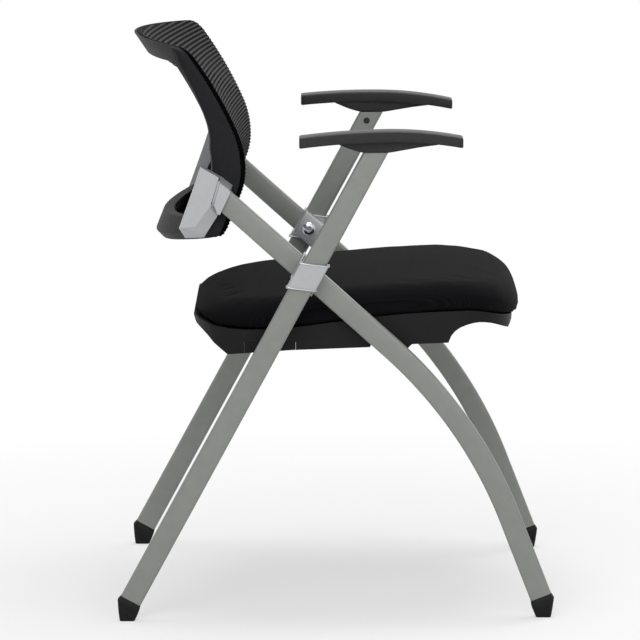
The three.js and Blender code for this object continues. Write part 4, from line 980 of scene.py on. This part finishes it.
# Heights between which the flatter waist turns into the bow above it and the bow below it
UPPER_TURN = (690, 774)
LOWER_TURN = (545, 620)
CROWN = 5  # how much higher the top edge is in its middle
# The edge's arcs: radius and the angle through which each turns
SHORT_ARC, UP_TURN = 130.0, math.radians(24)
LONG_ARC = 560.0
UNDER_ARC, DOWN_TURN = 90.0, math.radians(21.5)
RAIL_FRONT = 7.2  # from the mesh's plane to the front of the rails


def back_edge(z):
    """Front edge at the sides, in X.

    An arc below the crest ends in a slope; above the crest a short arc runs on into a long one.
    """
    sizes = back_sizes()
    rise = np.asarray(z, float) - mm(sizes.crest)
    sine_up, sine_down = math.sin(UP_TURN), math.sin(DOWN_TURN)
    near = SHORT_ARC * (1 - np.sqrt(1 - np.clip(rise / SHORT_ARC, 0, sine_up) ** 2))
    sine = np.clip(sine_up + (rise - SHORT_ARC * sine_up) / LONG_ARC, sine_up, 0.95)
    far = LONG_ARC * (math.cos(UP_TURN) - np.sqrt(1 - sine**2))
    dip = UNDER_ARC * (1 - np.sqrt(1 - np.clip(-rise / UNDER_ARC, 0, sine_down) ** 2))
    slope = np.maximum(-rise - UNDER_ARC * sine_down, 0) * math.tan(DOWN_TURN)
    return -mm(sizes.crest_setback) - near - far - dip - slope


def to_the_middle(y):
    """A parabola across the back: 1 in its middle and 0 at its sides."""
    return 1 - np.minimum(np.abs(y) / mm(back_sizes().half_width), 1) ** 2


def back_bow(y, z):
    """How far the back bows rearward: deep at both ends and flatter at the waist."""
    sizes = back_sizes()
    waist = mm(sizes.waist_bow)
    depth = waist + (mm(sizes.top_bow) - waist) * smooth(z, *UPPER_TURN)
    depth = depth + (mm(sizes.bottom_bow) - waist) * (1 - smooth(z, *LOWER_TURN))
    return depth * to_the_middle(y)


def rounded_limit(radius, into):
    """Height of a quarter circle over its centre, at a distance into the corner."""
    return np.sqrt(radius**2 - np.clip(into, 0, radius) ** 2)


def side_limit(z):
    """Half width of the back at a height: less only within a corner radius of top and bottom."""
    sizes = back_sizes()
    radius = mm(sizes.corner)
    into = np.maximum(z - mm(sizes.top) + radius, mm(sizes.bottom) + radius - z)
    return mm(sizes.half_width) - radius + rounded_limit(radius, into)


def top_profile(y):
    """Height of the back's crowned top line, without its corners."""
    return mm(back_sizes().top) + CROWN * to_the_middle(y)


def top_limit(y):
    """Height of the back's top edge: the crowned line falls in a quarter circle at each corner."""
    sizes = back_sizes()
    radius = mm(sizes.corner)
    into = np.abs(y) - mm(sizes.half_width) + radius
    return top_profile(y) - radius + rounded_limit(radius, into)


def on_back(y, z, behind):
    """Points behind the back's surface, each by its distance."""
    y, z, behind = np.broadcast_arrays(y, z, behind)
    return np.stack([back_edge(z) - back_bow(y, z) - behind, y, z], -1)


def rail_depth(z):
    """Depth of a side rail: even up to the lumbar crest, slimmer above and thin at the top."""
    heights = (524, 645, 662, 678, 694, 711, 727, 743, 760, 784)
    return np.interp(z, heights, (39, 39, 34.2, 30.1, 27.9, 26.2, 24.1, 21.9, 19.5, 10))


class CHAIR_OT_back_frame(bpy.types.Operator):
    """Moulded back frame: two side rails, a top rail and a drooping lower beam"""

    bl_idname = "chair.back_frame"
    bl_label = "Back frame"

    INSIDE = 0.05  # how far the rails stay inside the back's outline
    TOP_DEPTH, TOP_FALL = 23.5, 20  # the top rail's depth and what its lower edge falls at the ends
    BEAM_DROOP, WEB_DROOP = 24, 12

    def execute(self, context):
        rail = self.rail()
        parts = [rail, rail * MIRROR, self.top_rail(), self.beam(), self.web()]
        settle(grid_mesh("back_moulding", parts), "front_frame", "back_plastic", ["back_frame"], 32)
        return {"FINISHED"}

    def rail(self):
        """Level sections stacked up the back's edge: a rounded bar, narrowed at the corners."""
        sizes = back_sizes()
        inner = mm(sizes.half_width) - mm(sizes.rail_width)
        low, high, radius = mm(sizes.bottom), mm(sizes.top), mm(sizes.corner)
        turn_up = radius * quarter_arc(6)[1]
        straight = np.linspace(low + radius, high - radius, 64)[1:-1]
        height = np.r_[low + radius - turn_up[::-1], straight, high - radius + turn_up]
        run, gap = 1 - np.stack(quarter_arc(4))
        rows = []
        for z in height:
            outer = float(side_limit(z)) - self.INSIDE
            rear = 6.9 + float(rail_depth(z))
            near = np.stack([outer - 1.3 * gap, RAIL_FRONT + 1.3 * run], 1)
            far = np.stack([outer - 4.5 * run, rear - 4.5 * gap], 1)
            back = np.stack([inner + 2 * run[::-1], rear - 2 * gap[::-1]], 1)
            side, behind = np.vstack([[[inner, RAIL_FRONT]], near, far, back]).T
            rows.append(on_back(side, z, behind))
        return np.stack(rows)

    def top_rail(self):
        """An upright section carried from side to side, thin along its top edge, thicker below."""
        sizes = back_sizes()
        radius, half = mm(sizes.corner), mm(sizes.half_width)
        end = (half - radius) + radius * quarter_arc(6)[1][:-1]
        rows = []
        for side in np.r_[-end[::-1], np.linspace(radius - half, half - radius, 80)[1:-1], end]:
            fall = self.TOP_FALL * float(smooth(abs(side), 180, half)) ** 2
            low = mm(sizes.top) - self.TOP_DEPTH - fall
            high = float(top_limit(side)) - self.INSIDE
            corners = [[low, RAIL_FRONT], [high, RAIL_FRONT], [high, 10.8], [low, 15.4]]
            profile = rounded_outline(corners, 1.4)
            rows.append(on_back(side, profile[:, 0], profile[:, 1]))
        return np.stack(rows)

    def beam(self):
        """The lower beam's upright section, carried from side to side.

        Its lower edge droops in the middle and its top rises to the rails.
        """
        sizes = back_sizes()
        reach = mm(sizes.half_width) - 9
        rows = []
        for side in np.linspace(-reach, reach, 90):
            droop = self.BEAM_DROOP * (1 - (side / mm(sizes.half_width)) ** 2)
            low = mm(sizes.bottom) + 1.5 - droop
            high = 539.5 + 5 * (side / 140) ** 2
            front = 30 - 12 * float(smooth(abs(side), 150, 235))
            corners = [[low, front - 7], [high, front], [high, 45.4], [low + 9, 45.4]]
            profile = rounded_outline([*corners, [low, front + 3]], 2.2, 5)
            rows.append(on_back(side, profile[:, 0], profile[:, 1]))
        return np.stack(rows)

    def web(self):
        """A thin floor between the lower beam and the mesh's edge that closes the trough there."""
        sizes = back_sizes()
        reach = mm(sizes.half_width) - 20
        y = np.linspace(-reach, reach, 60)
        low = mm(sizes.bottom) + 6 - self.WEB_DROOP * (1 - (y / mm(sizes.half_width)) ** 2)
        corners = ((0, 7.4), (2, 7.4), (2, 34), (0, 34))
        return np.stack([on_back(y, low + rise, behind) for rise, behind in corners], 1)


class CHAIR_OT_back_mesh(bpy.types.Operator):
    """Carrier loop and the ribbed mesh that is stretched over it and wrapped round its edge"""

    bl_idname = "chair.back_mesh"
    bl_label = "Back mesh"

    WRAP = 5.4  # what goes round the edge
    EDGE_GAP = 0.9  # from the back's outline to the place where the mesh turns
    CELLS, BORDER, THREAD = 76, 12, 1.15  # holes in a row, closed border, thread between two holes
    RIB_PARTS = np.array([0.14, 0.4, 0.6, 0.86])  # places of a rib's rows, from crest to crest
    BEHIND = 1.5  # from the back's surface to the mesh's valleys
    WAIST_SINK, TOP_SINK = (545, 600), (690, 765)  # heights over which the ribs begin to sink
    SPARE = 34  # height of the rows that sink from above the top edge
    SIDE_HEIGHT, MIDDLE_HEIGHT, ARCH = 690, 738, 200  # where the holes end, and its half span
    THICKNESS = 0.0007
    MEASURED_AT = 700  # height of a level line across the back; its points are worked out but nothing measures or uses them
    HEM = (0.008, 0.012)  # what the flat sheet is wider and higher, for its wrapped edge

    def execute(self, context):
        carrier = grid_mesh("carrier_loop", [self.loop()], closed_rows=True)
        settle(carrier, "front_frame", "black_plastic", ["mesh_carrier"])
        self.mesh()
        return {"FINISHED"}

    def loop(self):
        """A flat bar round the back: two rounded outlines 16 mm apart, each in front and behind."""
        outer, inner = self.outline(1.8, 10.2), self.outline(16.0, 3.0)
        rows = [(outer, 2.2), (outer, 6.2), (inner, 6.2), (inner, 2.2)]
        return np.stack([on_back(line[:, 0], line[:, 1], behind) for line, behind in rows], 1)

    def outline(self, gap, radius):
        """The back's front view moved in by a gap: four arcs, and straight runs in equal counts."""
        sizes = back_sizes()
        half = mm(sizes.half_width) - gap - radius
        low, high = mm(sizes.bottom) + gap + radius, mm(sizes.top) - gap - radius
        corners = np.array([[half, high], [-half, high], [-half, low], [half, low]])
        parts = []
        for index, corner in enumerate(corners):
            angle = index * QUARTER + np.linspace(0, QUARTER, 7)
            arc = radius * np.stack([np.cos(angle), np.sin(angle)], 1)
            start, end = corner + arc[-1], corners[(index + 1) % 4] + arc[-1]
            parts += [corner + arc, start + (end - start) * np.linspace(0, 1, 62)[1:-1, None]]
        points = np.vstack(parts)
        crown = top_profile(points[:, 0]) - mm(sizes.top)
        points[:, 1] += np.where(points[:, 1] > high, crown, 0)
        return points

    def mesh(self):
        """The ribbed mesh as one sheet with holes, held stretched over the carrier loop."""
        sheet, painted_rib_shading, keep = self.ribs()
        points = sheet.reshape(-1, 3)
        points[:, 0] += SHIFT
        data = bpy.data.meshes.new("ribbed_mesh")
        data.from_pydata((points / 1000).tolist(), [], sheet_faces(*sheet.shape[:2])[keep].tolist())
        # The rib attribute holds the ribs' painted highlight and painted shade for the knit's
        # colour.
        crest = data.attributes.new("rib", "FLOAT", "POINT")
        crest.data.foreach_set("value", painted_rib_shading.astype(np.float32).ravel())
        piece = new_object("ribbed_mesh", data)
        rework(data, self.clean)
        thick = piece.modifiers.new("thickness", "SOLIDIFY")
        thick.thickness = self.THICKNESS
        thick.offset = 0
        settle(piece, "front_frame", "mesh_fabric", ["back_mesh"], 60)
        sizes = back_sizes()
        half, low, high = mm(sizes.half_width), mm(sizes.bottom) + 1, mm(sizes.top)
        upright = on_back(0, np.linspace(low, high, 60), 0)
        level = on_back(np.linspace(-half, half, 60), self.MEASURED_AT, 0)

    def ribs(self):
        """The sheet's points, the painted light and shade of each and the faces that are kept.

        Rows of ribs lie over a grid, and each row sinks towards the middle. A rib is one cosine of
        the row's measure, and its crest is named in the attribute that the knit's colour reads, as
        a painted highlight on the crests and painted shade in the valleys. What runs past the edge
        goes round it, and there that painted highlight is dimmed to painted shade. Holes lie in the
        flat part, below an arched line, and above it the mesh is closed, because the floor shows
        through holes seen at a slant there.
        """
        sizes = back_sizes()
        half, radius = mm(sizes.half_width), mm(sizes.corner)
        low, high = mm(sizes.bottom) + 1.0, mm(sizes.top)
        pitch = mm(sizes.rib_pitch)
        count = int((high + self.SPARE - low) / pitch)
        phase = (np.arange(count)[:, None] + self.RIB_PARTS).reshape(-1)
        phase = np.r_[-1.2, -0.6, phase, count]
        cell = np.linspace(self.BORDER - half, half - self.BORDER, self.CELLS + 1)
        hole_start, hole_end = cell[:-1] + self.THREAD / 2, cell[1:] - self.THREAD / 2
        turn_steps = self.WRAP * np.array([1, 0.66, 0.33, 0.1])
        outer = half - self.EDGE_GAP + np.r_[turn_steps, 0, -3, -8]
        y = np.sort(np.r_[-outer, hole_start, hole_end, outer])
        start = low + phase * pitch
        sink = mm(sizes.rib_droop) * smooth(start, *self.WAIST_SINK)
        sink = sink + mm(sizes.top_droop) * smooth(start, *self.TOP_SINK)
        z = start[:, None] - sink[:, None] * to_the_middle(y)
        ripple = 0.5 + 0.5 * np.cos(2 * math.pi * phase)[:, None] * np.ones_like(z)
        bulge = mm(sizes.rib_relief) * ripple

        # how far a point lies into a corner's or an edge's round, and what it keeps of that
        over_y = np.abs(y)[None, :] - half + radius
        top_line = top_profile(y)[None, :]
        upper = z > (low + top_line) / 2
        over_z = np.where(upper, z - top_line, low - z) + radius
        into_y, into_z = np.maximum(over_y, 0), np.maximum(over_z, 0)
        length_out = np.maximum(np.hypot(into_y, into_z), 1e-6)
        turn_at = radius - self.EDGE_GAP
        reach = np.maximum(length_out - radius + self.EDGE_GAP, 0)
        kept = np.minimum(length_out, turn_at)
        kept = kept + np.where(reach > 0, bulge * 0.6 * np.minimum(reach, 1), 0)
        sideways = np.where(over_y > 0, into_y * kept / length_out, over_y)
        across = np.sign(y)[None, :] * (half - radius + sideways)
        shift = np.where(over_z > 0, into_z * kept / length_out, over_z) - over_z
        inside = z + np.where(upper, shift, -shift)
        flat = reach < 0.01
        around = np.minimum(reach, self.WRAP)
        behind = np.where(flat, self.BEHIND - bulge, self.BEHIND - bulge * 0.4 + around)
        sheet = on_back(across, inside, behind)
        # Painted light: each rib's crest is a painted highlight; past the flat part, where the mesh
        # runs round the edge, it is dimmed to painted shade.
        painted_rib_shading = np.where(reach < 0.35, ripple, 0.3 * ripple)

        # one row of four and every cell is open, where the mesh is flat and below the arch
        step = np.arange(len(phase) - 1)
        hole_row = (step >= 2) & ((step - 2) % 4 == 1)
        hole_column = np.isin(y[:-1], hole_start)
        fall = self.MIDDLE_HEIGHT - self.SIDE_HEIGHT
        arch = np.maximum(self.MIDDLE_HEIGHT - fall * (y[:-1] / self.ARCH) ** 2, self.SIDE_HEIGHT)
        pierced = flat[:-1, :-1] & (z[:-1, :-1] < arch) & (z[:-1, :-1] > low + 5)
        nearest = np.minimum(reach[:-1], reach[1:])
        nearest = np.minimum(nearest[:, :-1], nearest[:, 1:])
        keep = (nearest < self.WRAP) & ~(hole_row[:, None] & hole_column[None, :] & pierced)
        return sheet, painted_rib_shading, keep

    def clean(self, shape):
        """Drops faces without area and points that no face uses."""
        bmesh.ops.dissolve_degenerate(shape, dist=2e-5, edges=shape.edges)
        loose = [point for point in shape.verts if not point.link_faces]
        bmesh.ops.delete(shape, geom=loose, context="VERTS")


class CHAIR_OT_brackets(bpy.types.Operator):
    """Cast brackets that hold the back on the bent legs, and their screws"""

    bl_idname = "chair.brackets"
    bl_label = "Brackets"

    def execute(self, context):
        for side in SIDES:
            piece = worked_copy(f"back_bracket_{side}", f"back_casting_{side}", 1.1, 9, 3)
            self.chamfer(piece.data)
            settle(piece, "front_frame", "cast_silver", [f"back_bracket_{side}"], 9)
            coat("zinc", f"back_screw_lower_{side}", f"back_screw_upper_{side}")
        return {"FINISHED"}

    def chamfer(self, mesh):
        """Draws in the raised boss's outer face on all sides but its mouth, so its walls slope."""
        points = points_of(mesh) * 1000
        distance = np.abs(points[:, 1])
        top = distance > distance.max() - 0.2
        face = points[top][:, [0, 2]]
        centre = face.mean(0)
        mouth = front_axis()
        along = (face - centre).dot(mouth)
        inner = along < along.max() - 12
        drawn = face + (centre - face) * np.where(inner, 0.3, 0.12)[:, None]
        drawn -= mouth * np.where(inner, 0, ((drawn - face).dot(mouth)))[:, None]
        points[top, 0], points[top, 2] = drawn[:, 0], drawn[:, 1]
        put_points(mesh, points / 1000)


class CHAIR_OT_seat(bpy.types.Operator):
    """Moulded seat shell with its hinge caps, bushes, hooks, board and screws"""

    bl_idname = "chair.seat"
    bl_label = "Seat"

    CAP_SPREAD = 0.28
    RIM_BACK = 3.2  # how far the rear rim goes back
    LIP_DROP, NOSE_DROP, UNDERSIDE_DROP = 3.4, 2.0, 1.6

    def execute(self, context):
        shell = worked_copy("seat_shell", "shell_moulding", 0.5)
        self.fit(shell.data, 0)
        settle(shell, "seat", "shell_plastic", ["seat_shell"], 32)
        for side in SIDES:
            cap = worked_copy(f"hinge_cap_{side}", f"bearing_cap_{side}", 0.4)
            self.fit(cap.data, self.CAP_SPREAD)
            settle(cap, "seat", "shell_plastic", [f"hinge_cap_{side}"], 32)
            hook = worked_copy(f"seat_hook_{side}", f"hook_plate_{side}", 0.5)
            settle(hook, "seat", "black_steel", [f"seat_hook_{side}"], 32)
            coat("nylon", f"hinge_bush_{side}")
            for row in ("rear", "front"):
                coat("black_steel", f"cap_screw_{row}_{side}")
                coat("zinc", f"seat_screw_{row}_{side}")
        coat("plywood", "seat_board")
        return {"FINISHED"}

    def fit(self, mesh, spread):
        """Draws the nose forward, its lip and the underside down and the rear rim back.

        A cap is spread along X besides, so that it closes its place in the shell's wall.
        """
        points = points_of(mesh) * 1000
        x, z = points[:, 0] - SHIFT, points[:, 2]
        middle = (x.min() + x.max()) / 2
        moved = x + spread * np.sign(x - middle)
        rim = self.RIM_BACK * smooth(-x, 120, 190) * smooth(z, 385, 402)
        moved = moved + nose_reach(moved) - rim
        under = np.clip((seam_height(moved) - z) / 9, 0, 1)
        lip = self.LIP_DROP * smooth(x, 140, 190) + self.NOSE_DROP * smooth(x, 205, 236)
        floor = self.UNDERSIDE_DROP * (1 - smooth(z, 374, 392)) * (1 - smooth(x, 120, 160))
        points[:, 0] = moved + SHIFT
        points[:, 2] = z - lip * under - floor
        put_points(mesh, points / 1000)


# Share of the seat's length and share of the rise at it, for the seam and for the cushion's top
SEAM_SHARES = np.array(
    [
        [0, 0.45], [0.035, 0.3], [0.06, 0.13], [0.11, 0.02], [0.166, 0], [0.237, 0.02],
        [0.307, 0.12], [0.378, 0.27], [0.449, 0.42], [0.519, 0.58], [0.59, 0.73], [0.661, 0.85],
        [0.732, 0.93], [0.802, 0.98], [0.86, 1], [0.895, 0.93], [0.93, 0.79], [0.965, 0.64],
        [1, 0.5],
    ]
)
TOP_SHARES = np.array(
    [
        [0, 0.36], [0.02, 0.445], [0.09, 0.515], [0.24, 0.63], [0.36, 0.745], [0.49, 0.85],
        [0.66, 0.946], [0.79, 0.985], [0.87, 0.965], [0.944, 0.9], [1.013, 0.75], [1.035, 0.58],
    ]
)


def nose_reach(x):
    """How far a place along the seat is drawn forward, growing smoothly from the middle."""
    sizes = seat_sizes()
    return mm(sizes.nose) * smooth(x, 60, mm(sizes.length) - mm(sizes.rear))


def along_seat(x, shares, rise):
    """Height over the seam's lowest point at places along the seat, from a table of shares."""
    sizes = seat_sizes()
    along = -mm(sizes.rear) + shares[:, 0] * mm(sizes.length)
    heights = mm(sizes.seam) + shares[:, 1] * mm(rise)
    return np.interp(x, along + nose_reach(along), heights)


def seam_height(x):
    """Height of the seam between shell and cushion."""
    return along_seat(x, SEAM_SHARES, seat_sizes().seam_rise)


def cushion_top(x, y):
    """Height of the cushion's top: the side line's height plus a crown, a parabola across."""
    sizes = seat_sizes()
    crown = mm(sizes.crown) * (1 - (y / mm(sizes.half_width)) ** 2)
    return along_seat(x, TOP_SHARES, sizes.rise) + crown


class CHAIR_OT_cushion(bpy.types.Operator):
    """Padded seat: a crowned closed form, inflated as cloth while its underside is held"""

    bl_idname = "chair.cushion"
    bl_label = "Cushion"

    RING, POWER = 160, 2 / 4.5
    FULLNESS = 1.5  # what is left for the cloth to fill, mm
    SIM_FRAMES = 20
    MOST_MOVE = 0.0012
    RIM_ROOM = 0.45
    # reach from the middle, inset, share of the way from seam to top, room for the board below
    UNDERSIDE = [(share, 42.0, 0.0, 7.2) for share in (0.02, 0.3, 0.6, 0.85, 1.0)]
    UNDERSIDE += [(1.0, 38.0, 0.0, 0.6), (1.0, 12.0, 0.0, 0.6)]
    SIDE = [(1.0, 2.8, 0.0, 0.5), (1.0, 1.7, 0.06, 0.3), (1.0, 0.6, 0.22, 0.1)]
    SIDE += [(1.0, 0.0, 0.42, 0.0), (1.0, 1.2, 0.56, 0.0), (1.0, 3.8, 0.69, 0.0)]
    SIDE += [(1.0, 8.0, 0.81, 0.0), (1.0, 14.0, 0.92, 0.0)]
    TOP = [(share, 24.0, 1.0, 0.0) for share in (1.0, 0.9, 0.75, 0.55, 0.35, 0.15, 0.02)]

    def execute(self, context):
        piece = grid_mesh("seat_pad", [self.form()])
        self.inflate(piece)
        self.press(piece.data)
        fine = piece.modifiers.new("fine", "SUBSURF")
        fine.levels = fine.render_levels = 1
        settle(piece, "seat", "seat_fabric", ["seat_cushion"], 80)
        return {"FINISHED"}

    def form(self):
        """Rings from the middle of the underside, up the drawn-in sides and over to the middle.

        A ring is a rounded square with the power 4.5 as its measure, moved in by its inset. The
        rear goes further back where the side is low, as the shell's rim does.
        """
        sizes = seat_sizes()
        half_x = mm(sizes.cushion_length) / 2 - self.FULLNESS
        half_y = mm(sizes.half_width) - self.FULLNESS
        middle = -mm(sizes.rear) - 3 + mm(sizes.cushion_length) / 2
        angle = (np.arange(self.RING) + 0.5) / self.RING * 2 * math.pi
        waves = np.stack([np.cos(angle), np.sin(angle)])
        along, across = np.sign(waves) * np.abs(waves) ** self.POWER
        rings = []
        for reach, gap, rise, lift in [*self.UNDERSIDE, *self.SIDE, *self.TOP]:
            x = along * (half_x - gap) * reach + middle
            y = across * (half_y - gap) * reach
            x = x + (5.2 * rise + 2.4 * smooth(rise, 0.35, 0.8) - 3.2) * smooth(-x, 90, 197)
            base = seam_height(x) + lift
            z = base + (cushion_top(x, y) - self.FULLNESS - base) * rise
            rings.append(np.stack([x, y, z], 1))
        return np.stack(rings)

    def inflate(self, piece):
        """Remeshes to 5 mm, fills the pad by pressure, its underside pinned, and caps the move."""
        voxels = piece.modifiers.new("voxels", "REMESH")
        voxels.mode = "VOXEL"
        voxels.voxel_size = 0.005
        self.bake(piece)
        before = points_of(piece.data)
        near_seam = before[:, 2] * 1000 < seam_height(before[:, 0] * 1000 - SHIFT) + 6
        low = near_seam | (points_of(piece.data, "normal")[:, 2] < -0.5)
        held = piece.vertex_groups.new(name="held")
        held.add(np.flatnonzero(low).tolist(), 1.0, "REPLACE")
        cloth = piece.modifiers.new("cloth", "CLOTH")
        cloth.settings.use_pressure = True
        cloth.settings.uniform_pressure_force = 4
        cloth.settings.vertex_group_mass = "held"
        cloth.settings.effector_weights.gravity = 0
        cloth.point_cache.frame_start = 1
        cloth.point_cache.frame_end = self.SIM_FRAMES
        for step in range(self.SIM_FRAMES):
            bpy.context.scene.frame_set(step + 1)
        self.bake(piece)
        move = points_of(piece.data) - before
        far = np.maximum(np.linalg.norm(move, axis=1), 1e-9)
        move *= np.minimum(self.MOST_MOVE / far, 1)[:, None]
        put_points(piece.data, before + move)
        bpy.context.scene.frame_set(1)

    def press(self, mesh):
        """Keeps the pad above the shell's rim."""
        points = points_of(mesh)
        floor = seam_height(points[:, 0] * 1000 - SHIFT) + self.RIM_ROOM
        points[:, 2] = np.maximum(points[:, 2], floor / 1000)
        put_points(mesh, points)

    def bake(self, piece):
        """Applies what the modifiers make to the mesh itself."""
        graph = bpy.context.evaluated_depsgraph_get()
        made = bpy.data.meshes.new_from_object(piece.evaluated_get(graph))
        piece.modifiers.clear()
        piece.data = made


class CHAIR_PT_panel(bpy.types.Panel):
    """Lists the chair's pieces in the sidebar"""

    bl_idname = "CHAIR_PT_panel"
    bl_label = "Nesting chair"
    bl_space_type = "VIEW_3D"
    bl_region_type = "UI"
    bl_category = "Chair"

    def draw(self, context):
        for step in STEPS:
            self.layout.operator(step.bl_idname)


STEPS = (
    CHAIR_OT_stage,
    CHAIR_OT_legs,
    CHAIR_OT_feet,
    CHAIR_OT_sleeves,
    CHAIR_OT_arms,
    CHAIR_OT_back_frame,
    CHAIR_OT_back_mesh,
    CHAIR_OT_brackets,
    CHAIR_OT_seat,
    CHAIR_OT_cushion,
)
GROUPS = {
    "chair_frame": FrameSizes,
    "chair_back": BackSizes,
    "chair_seat": SeatSizes,
    "chair_colours": Colours,
}


def register():
    for name, group in GROUPS.items():
        bpy.utils.register_class(group)
        setattr(bpy.types.Scene, name, bpy.props.PointerProperty(type=group))
    for step in (*STEPS, CHAIR_PT_panel):
        bpy.utils.register_class(step)


def unregister():
    for step in (CHAIR_PT_panel, *reversed(STEPS)):
        bpy.utils.unregister_class(step)
    for name, group in GROUPS.items():
        delattr(bpy.types.Scene, name)
        bpy.utils.unregister_class(group)


def main():
    register()
    for step in STEPS:
        family, name = step.bl_idname.split(".")
        getattr(getattr(bpy.ops, family), name)()


if __name__ == "__main__":
    main()
